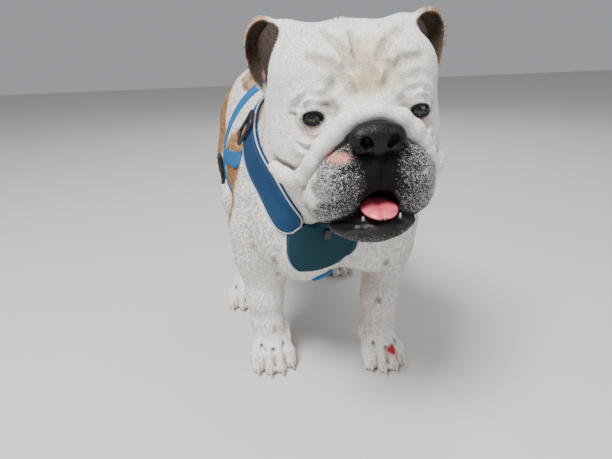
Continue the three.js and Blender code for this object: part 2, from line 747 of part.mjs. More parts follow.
let trunk = within(body, behind(...NECK_CUT), behind(...tailCut));
for (const cell of Object.values(cells)) trunk = trunk.subtract(cell.grown);
parts.torso = trunk;
parts.neck = within(body, behind(...NAPE_CUT), beyond(...NECK_CUT));
parts.tail = within(body, beyond(...tailCut));

for (const [name, cell] of Object.entries(cells)) {
  const foot = FEET[name];
  const legGrid = [
    lines(foot.side * 92 - 110, LEG_CELL, foot.side * 92 + 110),
    lines(foot.front ? -120 : 150, LEG_CELL, foot.front ? 120 : 480),
    lines(20, LEG_CELL, 390),
  ];
  const leg = netted(bodyField, legGrid, MOST.leg);
  parts[name + "_leg"] = within(closedBody(leg), cell.own, beyond([0, 0, PAW_CUT_Z], [0, 0, 1]));
  const pawGrid = [
    lines(foot.x - 60, PAW_CELL, foot.x + 60),
    lines(foot.y - 70, PAW_CELL, foot.y + 70),
    lines(-14, PAW_CELL, 78),
  ];
  const claws = TOES.map((n) => claw(...toePlace(foot, n), n));
  const whole = claws.reduce((made, one) => made.add(one), closedBody(netted(bodyField, pawGrid, MOST.paw)));
  const belowCut = behind([0, 0, PAW_CUT_Z], [0, 0, 1]);
  parts[name + "_paw"] = within(whole, cell.paw, belowCut, beyond([0, 0, 0], [0, 0, 1], 0));
}

const eyeBall = (side, grow) => {
  const ball = new THREE.SphereGeometry(EYE_RADIUS + grow, 14, 9);
  ball.translate(side * EYE[0], EYE[1], EYE[2]).applyMatrix4(headMatrix);
  return solid(ball);
};
const slit = (side) => {
  const ball = new THREE.SphereGeometry(1, 12, 8);
  ball.scale(9, 14, 5.4).rotateY((side * 8 * Math.PI) / 180).rotateZ((side * 24 * Math.PI) / 180);
  ball.translate(side * (EYE[0] + 2), EYE[1] - 14, EYE[2]).applyMatrix4(headMatrix);
  return solid(ball);
};

let head = within(closedBody(wholes.head), beyond(...NAPE_CUT));
head = without(head, noseGrown);
for (const side of [-1, 1]) head = without(head, eyeBall(side, GAP), slit(side));
parts.head = head;
parts.nose = closedBody(wholes.nose);
parts.lower_jaw = without(closedBody(wholes.jaw), headGrown);
parts.tongue = without(closedBody(wholes.tongue), jawGrown, headGrown);

for (const [name, side] of [["left", 1], ["right", -1]]) {
  const shape = earShape(EAR_AT[name]);
  const field = inHead((x, y, z) => shape(side * x, y, z));
  const [x, y, z] = EAR_AT[name];
  const centre = V(side * x, y, z).applyMatrix4(headMatrix).toArray();
  const earGrid = [48, 44, 62].map((reach, n) => lines(centre[n] - reach, EAR_CELL, centre[n] + reach));
  parts["ear_" + name] = without(closedBody(netted(field, earGrid, MOST.ear)), headGrown);
  parts["eye_" + name] = eyeBall(side, 0);
}

// Each band presses into what it lies on, and ends against the bands that were laid before it.
const HOSTS = ["torso", "neck", "front_right_leg", "front_left_leg", "head", "lower_jaw"];
const laid = [];
for (const [name, [path, wide, thick, steps, taper]] of Object.entries(bands)) {
  const strip = band(path, wide, SUNK, thick, steps, taper);
  const room = closedBody(grown(strip, BAND_SEAM)).add(closedBody(strip));
  parts[name] = without(closedBody(strip), ...laid);
  for (const host of HOSTS) parts[host] = parts[host].subtract(room);
  laid.push(room);
}

// Keeps the largest closed surface of a part.
function largest(made) {
  return made.decompose().sort((a, b) => b.volume() - a.volume())[0];
}

const MATERIALS = {
  coat: new THREE.MeshStandardMaterial({ color: 0xe8e4de, roughness: 0.85, metalness: 0 }),
  leather: new THREE.MeshStandardMaterial({ color: 0x17171a, roughness: 0.35, metalness: 0 }),
  lip: new THREE.MeshStandardMaterial({ color: 0x2c2a2c, roughness: 0.6, metalness: 0 }),
  tongue: new THREE.MeshStandardMaterial({ color: 0xf0708a, roughness: 0.35, metalness: 0 }),
  eye: new THREE.MeshStandardMaterial({ color: 0x15100d, roughness: 0.1, metalness: 0 }),
  ear: new THREE.MeshStandardMaterial({ color: 0x7b6a5e, roughness: 0.8, metalness: 0 }),
  fabric: new THREE.MeshStandardMaterial({ color: 0x0b4f82, roughness: 0.8, metalness: 0 }),
};
function materialOf(name) {
  if (name.startsWith("harness")) return MATERIALS.fabric;
  if (name.startsWith("ear")) return MATERIALS.ear;
  if (name.startsWith("eye")) return MATERIALS.eye;
  if (name === "nose") return MATERIALS.leather;
  if (name === "lower_jaw") return MATERIALS.lip;
  if (name === "tongue") return MATERIALS.tongue;
  return MATERIALS.coat;
}

const dog = new THREE.Group();
dog.position.set(...SHIFT);
for (const [name, made] of Object.entries(parts)) {
  const mesh = largest(made).getMesh();
  const geometry = new THREE.BufferGeometry();
  geometry.setAttribute("position", new THREE.BufferAttribute(new Float32Array(mesh.vertProperties), 3));
  geometry.setIndex(new THREE.BufferAttribute(new Uint32Array(mesh.triVerts), 1));
  geometry.computeVertexNormals();
  const node = new THREE.Mesh(geometry, materialOf(name));
  node.name = name;
  dog.add(node);
}

export default dog;
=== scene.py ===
# A life-size english bulldog in a chest harness, as a still museum-style model.
# Shapes are worked out in millimetres in the dog's own frame: the origin is on the floor midway
# between the front feet, the face is towards -Y and the dog's left is +X.

import math

import bmesh
import bpy
import numpy as np
import openvdb
from mathutils import Matrix, Vector, kdtree


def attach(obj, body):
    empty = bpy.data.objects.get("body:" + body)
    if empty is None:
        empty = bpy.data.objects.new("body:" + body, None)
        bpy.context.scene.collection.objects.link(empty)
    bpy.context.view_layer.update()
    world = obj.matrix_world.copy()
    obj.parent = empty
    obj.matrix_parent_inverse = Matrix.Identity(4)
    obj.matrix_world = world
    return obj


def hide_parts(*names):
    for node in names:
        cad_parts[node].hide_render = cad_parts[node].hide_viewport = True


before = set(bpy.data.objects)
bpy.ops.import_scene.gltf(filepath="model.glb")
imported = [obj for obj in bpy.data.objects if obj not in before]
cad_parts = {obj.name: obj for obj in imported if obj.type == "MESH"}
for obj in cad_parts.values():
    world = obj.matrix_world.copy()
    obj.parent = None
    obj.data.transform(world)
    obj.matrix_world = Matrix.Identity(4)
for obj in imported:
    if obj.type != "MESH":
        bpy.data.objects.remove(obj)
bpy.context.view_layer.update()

MM = 0.001
SHIFT = np.array([0.0, -117.0, 0.0])  # from the dog's frame to the model's
COAT_DEPTH = 1.0  # the skin lies this far inside the solids
SKIN_CELL = 2.0
rng = np.random.default_rng(7)


def to_model(points):
    return (np.asarray(points, float) + SHIFT) * MM


# Camera: a phone lens held a little above the dog's back, looking down at its face
CAMERA_AT = (-197.0, -687.0, 450.0)
CAMERA_AZIMUTH = math.radians(13)
CAMERA_DOWN = math.radians(18.9)
CAMERA_ROLL = math.radians(1.5)
FOCAL_PIXELS = 540
PICTURE_WIDTH = 612
SENSOR_WIDTH = 36


def make_camera():
    data = bpy.data.cameras.new("camera")
    data.sensor_width = SENSOR_WIDTH
    data.lens = SENSOR_WIDTH * FOCAL_PIXELS / PICTURE_WIDTH
    camera = bpy.data.objects.new("camera", data)
    bpy.context.collection.objects.link(camera)
    azimuth = Matrix.Rotation(-CAMERA_AZIMUTH, 4, "Z")
    pitch = Matrix.Rotation(math.pi / 2 - CAMERA_DOWN, 4, "X")
    roll = Matrix.Rotation(-CAMERA_ROLL, 4, "Z")
    camera.matrix_world = Matrix.Translation(to_model(CAMERA_AT)) @ azimuth @ pitch @ roll
    bpy.context.scene.camera = camera


make_camera()


# Field primitives. A Shape is a signed distance in millimetres, negative inside, and its box.
class Shape:
    def __init__(self, distance, low, high):
        self.distance = distance
        self.low = np.array(low, float)
        self.high = np.array(high, float)


def turned(degrees):
    a, b, c = np.radians(degrees)
    rx = np.array([[1, 0, 0], [0, math.cos(a), -math.sin(a)], [0, math.sin(a), math.cos(a)]])
    ry = np.array([[math.cos(b), 0, math.sin(b)], [0, 1, 0], [-math.sin(b), 0, math.cos(b)]])
    rz = np.array([[math.cos(c), -math.sin(c), 0], [math.sin(c), math.cos(c), 0], [0, 0, 1]])
    return rx @ ry @ rz


def ellipsoid(at, size, turn=(0, 0, 0)):
    at = np.array(at, float)
    size = np.array(size, float)
    axes = turned(turn)
    reach = np.sqrt((axes**2) @ (size**2))

    def distance(p):
        q = (p - at) @ axes
        k0 = np.linalg.norm(q / size, axis=-1)
        k1 = np.linalg.norm(q / size**2, axis=-1)
        return np.where(k1 < 1e-6, -size.min(), k0 * (k0 - 1) / np.maximum(k1, 1e-6))

    return Shape(distance, at - reach, at + reach)


def limb(start, end, r0, r1):
    start = np.array(start, float)
    along = np.array(end, float) - start

    def distance(p):
        t = np.clip(((p - start) @ along) / (along @ along), 0, 1)
        return np.linalg.norm(p - start - t[..., None] * along, axis=-1) - (r0 + (r1 - r0) * t)

    low = np.minimum(start - r0, start + along - r1)
    high = np.maximum(start + r0, start + along + r1)
    return Shape(distance, low, high)


def soften(a, b, k):
    h = np.maximum(k - np.abs(a - b), 0) / k
    return np.minimum(a, b) - h * h * k * 0.25


def rope(points):
    """A rope of flesh through points, each (x, y, z, radius)."""
    links = [limb(a[:3], b[:3], a[3], b[3]) for a, b in zip(points, points[1:])]

    def distance(p):
        best = links[0].distance(p)
        for link in links[1:]:
            best = soften(best, link.distance(p), 4)
        return best

    low = np.min([link.low for link in links], axis=0)
    high = np.max([link.high for link in links], axis=0)
    return Shape(distance, low, high)


def folded(points, middle=0.0):
    """Both halves of a thing laid on its left one."""
    p = np.array(points)
    p[..., 0] = np.abs(p[..., 0] - middle)
    return p


def mirrored(shape):
    low = [-shape.high[0], *shape.low[1:]]
    return Shape(lambda p: shape.distance(folded(p)), low, shape.high)


FAR = 60.0
PAD = 11.0


def shaped(steps, p):
    """The field of a list of (shape, blend radius, sign) at points p: 1 joins and -1 carves."""
    d = np.full(len(p), FAR)
    for shape, k, sign in steps:
        near = np.all((p > shape.low - k - PAD) & (p < shape.high + k + PAD), axis=1)
        if near.any():
            other = shape.distance(p[near])
            d[near] = sign * soften(sign * d[near], other, k)
    return d


def group(steps):
    joined = [shape for shape, _, sign in steps if sign > 0]
    low = np.min([shape.low for shape in joined], axis=0)
    high = np.max([shape.high for shape in joined], axis=0)
    return Shape(lambda p: shaped(steps, p), low, high)


def blend(pairs):
    return group([(shape, k, 1) for shape, k in pairs])


# Trunk, tail and legs, from the same driving sizes as the solids
LOIN_HEIGHT = 428
RIB_HALF_WIDTH = 125
HIPS_X = -12
TRUNK = [
    (ellipsoid([0, 50, 252], [120, 118, 118]), 1, 1),
    (ellipsoid([-4, 165, 272], [RIB_HALF_WIDTH, 150, 126]), 40, 1),
    (ellipsoid([HIPS_X, 285, LOIN_HEIGHT - 102], [100, 110, 102]), 50, 1),
    (ellipsoid([HIPS_X, 350, LOIN_HEIGHT - 112], [98, 82, 94]), 40, 1),
    (ellipsoid([0, 20, 318], [92, 92, 76]), 50, 1),
    (mirrored(ellipsoid([90, 34, 228], [43, 66, 92], [12, -6, 0])), 30, 1),
    (mirrored(ellipsoid([50, -34, 216], [54, 42, 66])), 30, 1),
    (limb([0, 20, 325], [-8, -62, 372], 92, 84), 40, 1),
    (ellipsoid([-6, -82, 300], [58, 52, 58]), 36, 1),
]
TAIL_PATH = [(-10, 425, 348, 17), (-6, 446, 335, 14), (2, 456, 316, 11), (10, 452, 303, 8)]
TAIL = rope(TAIL_PATH)

STANCE = 79
HIND_STANCE = 101
LEAN = 14
FEET = {
    "front_right": {"side": -1, "x": -STANCE - LEAN, "y": 20, "front": True, "reach": 36},
    "front_left": {"side": 1, "x": STANCE - LEAN, "y": -18, "front": True, "reach": 36},
    "hind_right": {"side": -1, "x": -HIND_STANCE - 5, "y": 228, "front": False, "reach": 32},
    "hind_left": {"side": 1, "x": HIND_STANCE - 5, "y": 322, "front": False, "reach": 32},
}
WRIST_Z = 60
TOES = (-1.5, -0.5, 0.5, 1.5)
TOE_PITCH = 15.5


def front_leg(side, x, y):
    return [
        (limb([side * 93, 42, 205], [side * 92, 40, 158], 45, 38), 26),
        (limb([side * 92, 38, 158], [x + side * 3, y + 12, 98], 37, 26), 18),
        (limb([x + side * 3, y + 12, 98], [x + side, y + 9, WRIST_Z], 26, 22.5), 12),
        (limb([x + side, y + 9, WRIST_Z], [x, y, 30], 22.5, 24), 12),
    ]


def hind_leg(side, x, y):
    bend = (322 - y) / 94
    knee = [side * 92, 300 - 44 * bend, 196]
    hock = [side * 92, y + 66 - 4 * bend, 104]
    return [
        (ellipsoid([side * 68 - 6, 348 - 12 * bend, 272], [42, 74, 96], [-14 - 8 * bend, 0, 0]), 34),
        (limb([side * 74, 325, 255], knee, 53, 40), 26),
        (limb(knee, hock, 40, 21), 16),
        (limb(hock, [x, y + 22, 34], 20, 19), 10),
    ]


def toe_place(foot, n):
    """Where the nth toe from the middle meets the floor; the outer toes stand back."""
    return foot["x"] + n * TOE_PITCH, foot["y"] - foot["reach"] + 9 * (abs(n) - 0.5)


def paw(foot):
    x, y = foot["x"], foot["y"]
    parts = [(ellipsoid([x, y - 6, 20], [31 if foot["front"] else 27, 31, 23]), 10)]
    for n in TOES:
        tx, ty = toe_place(foot, n)
        parts.append((limb([x + n * 12, y - 8, 30], [tx, ty + 9, 21], 11.5, 11), 5))
        parts.append((limb([tx, ty + 9, 20], [tx, ty, 9], 10.6, 10.4), 3))
    if foot["front"]:
        side = foot["side"]
        parts.append((limb([x - side * 25, y + 10, 52], [x - side * 27, y + 2, 40], 7, 5.5), 6))
    return parts


def leg_shape(foot):
    made = front_leg if foot["front"] else hind_leg
    return blend(made(foot["side"], foot["x"], foot["y"]) + paw(foot))


LEGS = {name: leg_shape(foot) for name, foot in FEET.items()}
BODY = TRUNK + [(TAIL, 16, 1)] + [(leg, 22, 1) for leg in LEGS.values()]

# Head, in its own frame: face towards -y, middle of the skull at 0
HEAD_AT = np.array([-7.0, -105.0, 376.0])
HEAD_TURN = turned((0, -1.8, -6))


def head_to_dog(points):
    return np.asarray(points, float) @ HEAD_TURN.T + HEAD_AT


def dog_to_head(points):
    return (np.asarray(points, float) - HEAD_AT) @ HEAD_TURN


def in_head(shape):
    corners = np.array([[x, y, z] for x in (0, 1) for y in (0, 1) for z in (0, 1)])
    box = head_to_dog(shape.low + corners * (shape.high - shape.low))
    return Shape(lambda p: shape.distance(dog_to_head(p)), box.min(axis=0), box.max(axis=0))


EYE = (53, -61, 8)
EYE_RADIUS = 12.5
SKULL = [
    (ellipsoid([0, 18, 29], [91, 92, 72]), 1),
    (ellipsoid([40, -22, 47], [46, 46, 43]), 24),
    (ellipsoid([58, 28, 64], [34, 40, 34]), 20),
    (ellipsoid([72, 34, 79], [22, 20, 23], [0, 0, -12]), 18),
    (ellipsoid([56, -6, -24], [40, 58, 56]), 26),
    (ellipsoid([48, -56, 28], [26, 20, 12], [0, 12, -24]), 10),
    (ellipsoid([0, -62, -18], [50, 40, 42]), 24),
    (ellipsoid([52, -62, -20], [20, 18, 15]), 14),
    (ellipsoid([33, -86, -50], [33, 34, 40], [8, -10, 0]), 12),
    (ellipsoid([42, -64, -70], [27, 34, 32]), 16),
    (ellipsoid([0, -88, -40], [30, 31, 30]), 12),
    (ellipsoid(EYE, [17.5, 15.5, 15]), 5),
]
NOSE_ROPE = rope(
    [
        (-92, -32, -46, 8),
        (-84, -46, -52, 9),
        (-74, -62, -55, 9.5),
        (-66, -76, -47, 9.5),
        (-59, -88, -32, 9.5),
        (-49, -92, -17, 10),
        (-37, -95, -4, 10.5),
        (-26, -98, 6, 10),
        (-15, -100, 11, 9.5),
        (5, -100, 14, 8.5),
        (27, -98, 6, 10),
        (41, -94, -7, 10.5),
        (50, -90, -19, 10),
        (56, -88, -30, 9.5),
        (61, -84, -40, 9.5),
        (66, -74, -50, 9),
        (76, -58, -53, 9),
        (88, -40, -46, 8),
    ]
)
ROPE_DITCH = 2.5  # how far the hollow beside the rope reaches past it
JAW = [
    (ellipsoid([0, -78, -102], [41, 38, 18]), 1),
    (rope([(0, -112, -97, 7), (20, -107, -99, 7.5), (38, -88, -99, 7.5)]), 8),
    (ellipsoid([0, -45, -84], [46, 48, 26]), 16),
]
NOSE = [
    (ellipsoid([0, -113, -7], [24.5, 13, 14]), 1, 1),
    (ellipsoid([16, -114, -10], [10.5, 12, 12]), 6, 1),
    (ellipsoid([0, -111, -18], [9, 9, 8]), 6, 1),
    (ellipsoid([13.5, -127, -12], [5.8, 12, 7.6], [0, 24, 18]), 2, -1),
    (rope([(15, -126, -16, 3), (22, -121, -18, 2.8), (29, -109, -18, 2.2)]), 2, -1),
    (limb([0, -128, -6], [0, -124, -34], 0.8, 1.2), 2, -1),
]
MOUTH_SIDE = 5  # the mouth opens this far to the dog's left of the middle
LIP_CLEFT = rope(
    [(0, -113.5, -24, 2), (0, -118.5, -36, 2.4), (0, -118.5, -46, 2.8), (0, -117, -54, 3.2)]
)
MOUTH = rope([(0, -123, -54, 2), (0, -121, -64, 5.5), (0, -117, -76, 14.5), (0, -90, -80, 18)])
MOUTH_LINE = rope([(0, -122, -84, 7), (20, -116, -89, 5), (38, -102, -95, 3.5), (54, -82, -98, 3)])
LID_GAP = (9.8, 16, 4.6)  # half sizes of the opening between the lids
LID_TILT = 16
EYE_SLIT = ellipsoid([EYE[0] + 1, EYE[1] - 14, EYE[2]], LID_GAP, [0, -LID_TILT, 20])
EYE_SOCKET = ellipsoid(EYE, [EYE_RADIUS - COAT_DEPTH - 0.3] * 3)


def skull_distance(q):
    m = folded(q)
    d = shaped([(shape, k, 1) for shape, k in SKULL], m)
    x, y, z = m[..., 0], m[..., 1], m[..., 2]
    d = d + np.where(y < 20, 5 * np.exp(-(x**2) / 90) * np.exp(-((z - 62) ** 2) / 1500), 0)
    rope_field = NOSE_ROPE.distance(q)
    d = -soften(-d, rope_field - ROPE_DITCH, 4)
    d = soften(d, rope_field, 2)
    lips = folded(q, MOUTH_SIDE)
    for shape, k in ((LIP_CLEFT, 3), (MOUTH, 4), (MOUTH_LINE, 3)):
        d = -soften(-d, shape.distance(lips), k)
    for shape, k in ((EYE_SOCKET, 1), (EYE_SLIT, 2)):
        d = -soften(-d, shape.distance(m), k)
    return d


skull_half = group([(shape, k, 1) for shape, k in SKULL])
skull_low = np.minimum([-skull_half.high[0], *skull_half.low[1:]], NOSE_ROPE.low)
HEAD = in_head(Shape(skull_distance, skull_low, np.maximum(skull_half.high, NOSE_ROPE.high)))
JAW_SHAPE = in_head(mirrored(blend(JAW)))

EAR_AT = {-1: (86, 34, 65), 1: (91, 30, 65)}
EAR_TURN = (0, 8, -22)


def ear_hollow(side):
    x, y, z = EAR_AT[side]
    return ellipsoid([x + 1, y - 14, z - 1], [23.5, 27, 38], EAR_TURN)


def ear(side):
    x, y, z = EAR_AT[side]
    burr = rope([(x - 4, y - 9, z - 10, 6), (x + 4, y - 11, z - 22, 7), (x + 1, y - 13, z - 34, 6.5)])
    cup = ellipsoid([x, y, z], [27, 24, 44], EAR_TURN)
    steps = [(cup, 1, 1), (ear_hollow(side), 3, -1), (burr, 5, 1)]
    made = group(steps)
    if side > 0:
        return in_head(made)
    low = [-made.high[0], *made.low[1:]]
    high = [-made.low[0], *made.high[1:]]
    return in_head(Shape(lambda q: made.distance(q * (-1, 1, 1)), low, high))


EARS = [(ear(side), 5, 1) for side in EAR_AT]
SMOOTH_ANIMAL = BODY + [(HEAD, 22, 1), (JAW_SHAPE, 3, 1)] + EARS


def unit(v):
    return v / np.maximum(np.linalg.norm(v, axis=-1, keepdims=True), 1e-9)


def slope(steps, p, reach=0.5):
    """Unit outward normals of a field at points p."""
    axes = np.eye(3) * reach
    parts = [shaped(steps, p + axis) - shaped(steps, p - axis) for axis in axes]
    return unit(np.stack(parts, axis=-1))


def dropped(steps, points, lift, rounds=6, most=8.0):
    """Points moved along the slope until the field there is lift."""
    p = np.array(points, float)
    for _ in range(rounds):
        d = np.clip(shaped(steps, p) - lift, -most, most)
        p -= slope(steps, p, 1.0) * d[:, None]
    return p


# Creases and folds of the skin, each (x, y, z, radius) in the head's frame, laid on its surface
def laid(points, lift_of, steps=SMOOTH_ANIMAL):
    points = np.array(points, float)
    radius = points[:, 3]
    middles = dropped(steps, points[:, :3], lift_of(radius))
    return rope(np.column_stack([middles, radius]))


def head_line(points):
    return [(*head_to_dog(p[:3]), p[3]) for p in points]


def crease(points, depth, k=3.0):
    return (laid(points, lambda radius: radius - depth), k, -1)


def fold(points, height, k=4.0):
    return (laid(points, lambda radius: height - radius), k, 1)


OVER_NOSE = [
    (-30, -88, 22, 3.5),
    (-14, -90, 30, 4),
    (4, -92, 34, 4),
    (22, -90, 30, 4),
    (36, -86, 20, 3.5),
]
FOREHEAD = [
    ([(4, -80, 34, 5), (3, -76, 50, 5.5), (-1, -68, 70, 5.5), (-2, -44, 92, 4.5)], 3.6),
    ([(-12, -82, 32, 4), (-22, -76, 44, 5), (-34, -66, 56, 4.5), (-50, -54, 60, 4)], 3.6),
    ([(16, -80, 34, 4), (25, -74, 46, 5), (38, -64, 56, 4.5), (54, -54, 56, 4)], 3.6),
    ([(-6, -74, 56, 4), (-16, -68, 64, 4.5), (-26, -56, 78, 4.5), (-34, -40, 86, 4)], 3.0),
    ([(10, -72, 60, 4), (18, -66, 70, 4.5), (32, -52, 80, 4.5), (44, -36, 84, 4)], 3.0),
    (OVER_NOSE, 3.2),
    ([(-40, -74, 30, 3.5), (-30, -76, 40, 4), (-20, -72, 52, 4)], 2.4),
    ([(40, -74, 30, 3.5), (32, -76, 40, 4), (22, -72, 54, 4)], 2.4),
]
FRONTAL_LUMPS = [
    ([(-14, -84, 40, 8), (-26, -76, 50, 8), (-38, -66, 50, 7)], 2.4),
    ([(18, -82, 42, 8), (30, -74, 52, 8), (42, -64, 50, 7)], 2.4),
    ([(-10, -74, 66, 9), (-22, -64, 74, 8)], 1.8),
    ([(12, -72, 70, 9), (24, -62, 78, 8)], 1.8),
]
FOREHEAD_SHAPES = [crease(head_line(points), depth, 5)[0] for points, depth in FOREHEAD]
BROW = [(34, -76, 20, 3), (42, -76, 27, 3.2), (56, -70, 29, 3.2), (70, -58, 20, 2.6)]
BROW_LOW = [(38, -79, 19, 1.8), (54, -78, 23, 1.8), (68, -67, 17, 1.6)]
UNDER_EYE = [(40, -84, -8, 2.6), (52, -80, -13, 2.8), (66, -68, -8, 2.4)]
UNDER_EYE_LOW = [(44, -84, -17, 2.4), (56, -76, -22, 2.6), (70, -62, -17, 2.2)]
JOWL = [(78, -62, -70, 4.5), (70, -64, -86, 5), (58, -66, -100, 4.5)]
FLEW_CREASE = [(24, -120, -62, 2.8), (38, -114, -70, 3.2), (54, -98, -72, 3)]
FLEW_LOW = [(30, -114, -78, 2.2), (44, -104, -82, 2.4), (58, -88, -80, 2.2)]
WHISKER_BED = [(14, -124, -34, 2.0), (26, -118, -38, 2.2), (40, -108, -44, 2.0)]
CHEEK_CREASE = [(86, -30, -66, 5), (78, -20, -88, 6), (62, -14, -104, 5)]


# The part of the muzzle that is grey
GREY_MUZZLE = blend(
    [
        (ellipsoid([0, -100, -50], [62, 60, 62]), 1),
        (ellipsoid([0, -70, -80], [66, 70, 34]), 10),
    ]
)


def both_sides(points):
    return [points, [(-x, y, z, r) for x, y, z, r in points]]


def head_creases():
    steps = [fold(head_line(points), height, 10) for points, height in FRONTAL_LUMPS]
    steps += [(shape, 5, -1) for shape in FOREHEAD_SHAPES]
    pairs = [(BROW, 2.8), (BROW_LOW, 0.9), (UNDER_EYE, 2.0), (UNDER_EYE_LOW, 1.8), (JOWL, 3.5)]
    pairs += [(FLEW_CREASE, 2.8), (FLEW_LOW, 2.0), (WHISKER_BED, 1.2), (CHEEK_CREASE, 3.5)]
    for points, depth in pairs:
        steps += [crease(head_line(side), depth) for side in both_sides(points)]
    return steps


def lid_rims():
    """A raised rim round each opening between the lids, on the ball of the eye."""
    tilt = math.radians(LID_TILT)
    steps = []
    for side in (-1, 1):
        ring = []
        for n in range(13):
            a = 2 * math.pi * n / 12
            along = (LID_GAP[0] + 0.6) * math.cos(a)
            across = (LID_GAP[2] + 1.1) * math.sin(a)
            dx = along * math.cos(tilt) - across * math.sin(tilt) + 1
            dz = along * math.sin(tilt) + across * math.cos(tilt)
            dy = -math.sqrt(max((EYE_RADIUS + 0.6) ** 2 - dx * dx - dz * dz, 9))
            ring.append((side * (EYE[0] + dx), EYE[1] + dy, EYE[2] + dz, 2.2))
        steps.append((rope(head_line(ring)), 3, 1))
    return steps


# Creases of the body, in the dog's frame
BODY_CREASES = [
    ([(0, 60, 405, 14), (0, 180, 402, 14), (0, 300, 402, 14)], 1.6, 12),
    ([(-118, 330, 215, 8), (-120, 262, 232, 9), (-104, 232, 214, 8)], 3.5, 10),
    ([(118, 300, 215, 8), (120, 262, 236, 9), (104, 240, 216, 8)], 3.5, 10),
    ([(-136, 84, 200, 9), (-134, 92, 260, 10), (-118, 96, 330, 9)], 3.0, 14),
    ([(136, 84, 200, 9), (134, 92, 260, 10), (118, 96, 330, 9)], 3.0, 14),
    ([(-30, -88, 250, 6), (-42, -70, 205, 7), (-40, -58, 170, 6)], 2.5, 9),
    ([(32, -88, 250, 6), (42, -70, 205, 7), (40, -58, 170, 6)], 2.5, 9),
    ([(0, -98, 232, 6), (0, -84, 200, 7), (0, -66, 165, 6)], 2.0, 9),
    ([(0, 432, 262, 8), (0, 420, 225, 9), (0, 396, 200, 8)], 4.0, 12),
]


def toe_creases():
    """The dark gap between neighbouring toes, drawn a little deeper."""
    steps = []
    for foot in FEET.values():
        for n in (-1, 0, 1):
            x = foot["x"] + n * TOE_PITCH
            y = foot["y"] - foot["reach"]
            line = [(x, y + 22, 36, 1.6), (x, y + 6, 30, 2.0), (x, y - 1, 18, 2.2), (x, y, 6, 2.2)]
            steps.append((rope(line), 3, -1))
    return steps


ANIMAL = SMOOTH_ANIMAL + head_creases() + lid_rims()
ANIMAL += [crease(points, depth, k) for points, depth, k in BODY_CREASES] + toe_creases()


# Meshing
def outward(points, faces):
    """A closed surface's faces, turned so that their normals point out of it."""
    a, b, c = (points[faces[:, n]] for n in range(3))
    volume = np.einsum("ij,ij->i", a - points.mean(axis=0), np.cross(b - a, c - a)).sum()
    return faces if volume > 0 else faces[:, ::-1]


def meshed(steps, low, high, cell, depth):
    """Vertices (mm) and quads of the surface that lies depth inside a field."""
    low = np.array(low, float)
    block = 4 * cell
    counts = np.ceil((np.array(high, float) - low) / block).astype(int)
    coarse_index = np.indices(counts).reshape(3, -1).T
    middles = low + (coarse_index * 4 + 1.5) * cell
    coarse = shaped(steps, middles)
    values = np.where(coarse > 0, FAR, -FAR).astype(np.float32).reshape(counts)
    values = values.repeat(4, 0).repeat(4, 1).repeat(4, 2)
    inner = np.indices((4, 4, 4)).reshape(3, -1).T
    near = coarse_index[np.abs(coarse) < 2.3 * block]
    for part in np.array_split(near, max(1, len(near) // 6000)):
        index = (part[:, None, :] * 4 + inner[None]).reshape(-1, 3)
        values[index[:, 0], index[:, 1], index[:, 2]] = shaped(steps, low + index * cell)
    grid = openvdb.FloatGrid(FAR)
    grid.copyFromArray(values)
    points, quads = grid.convertToQuads(isovalue=-depth)
    points = low + np.array(points, float) * cell
    return points, outward(points, np.array(quads, int))


def read(items, name, width=1, kind=int):
    """One value, or a few, of each of a mesh's items."""
    made = np.empty(len(items) * width, kind)
    items.foreach_get(name, made)
    return made


def write_uv(mesh, name, uv):
    layer = mesh.uv_layers.new(name=name)
    layer.data.foreach_set("uv", uv.astype(np.float32).ravel())


def shade_smooth(mesh):
    mesh.polygons.foreach_set("use_smooth", [True] * len(mesh.polygons))


def new_object(name, points, faces, material):
    mesh = bpy.data.meshes.new(name)
    mesh.from_pydata(np.asarray(points).tolist(), [], [list(map(int, face)) for face in faces])
    shade_smooth(mesh)
    mesh.materials.append(material)
    mesh.update()
    return placed(bpy.data.objects.new(name, mesh))


def taken(work):
    """The vertices and faces of a bmesh, which is then freed."""
    points = np.array([v.co for v in work.verts])
    faces = [[v.index for v in face.verts] for face in work.faces]
    work.free()
    return points, faces


def placed(made):
    bpy.context.collection.objects.link(made)
    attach(made, "root")
    return made


# Materials
def new_material(name, colour, roughness, **sockets):
    made = bpy.data.materials.new(name)
    made.use_nodes = True
    shader = made.node_tree.nodes["Principled BSDF"]
    shader.inputs["Base Color"].default_value = (*colour, 1)
    shader.inputs["Roughness"].default_value = roughness
    for key, value in sockets.items():
        shader.inputs[key.replace("_", " ")].default_value = value
    return made, made.node_tree, shader


def paint(tree, shader, colour):
    tree.links.new(colour, shader.inputs["Base Color"])


def attribute_node(tree, name):
    made = tree.nodes.new("ShaderNodeAttribute")
    made.attribute_name = name
    return made.outputs


def noise_node(tree, scale, stretch=(1, 1, 1), detail=3.0):
    source = tree.nodes.new("ShaderNodeTexCoord")
    mapping = tree.nodes.new("ShaderNodeMapping")
    mapping.inputs["Scale"].default_value = stretch
    tree.links.new(source.outputs["Object"], mapping.inputs["Vector"])
    made = tree.nodes.new("ShaderNodeTexNoise")
    made.inputs["Scale"].default_value = scale
    made.inputs["Detail"].default_value = detail
    tree.links.new(mapping.outputs["Vector"], made.inputs["Vector"])
    return made.outputs["Fac"]


def ramp_node(tree, factor, stops):
    made = tree.nodes.new("ShaderNodeValToRGB")
    elements = made.color_ramp.elements
    for element, (position, colour) in zip(elements, (stops[0], stops[-1])):
        element.position = position
        element.color = (*colour, 1)
    for position, colour in stops[1:-1]:
        elements.new(position).color = (*colour, 1)
    tree.links.new(factor, made.inputs["Fac"])
    return made.outputs["Color"]


def plug(tree, sockets, values):
    for socket, value in zip(sockets, values):
        if isinstance(value, bpy.types.NodeSocket):
            tree.links.new(value, socket)
        else:
            socket.default_value = value


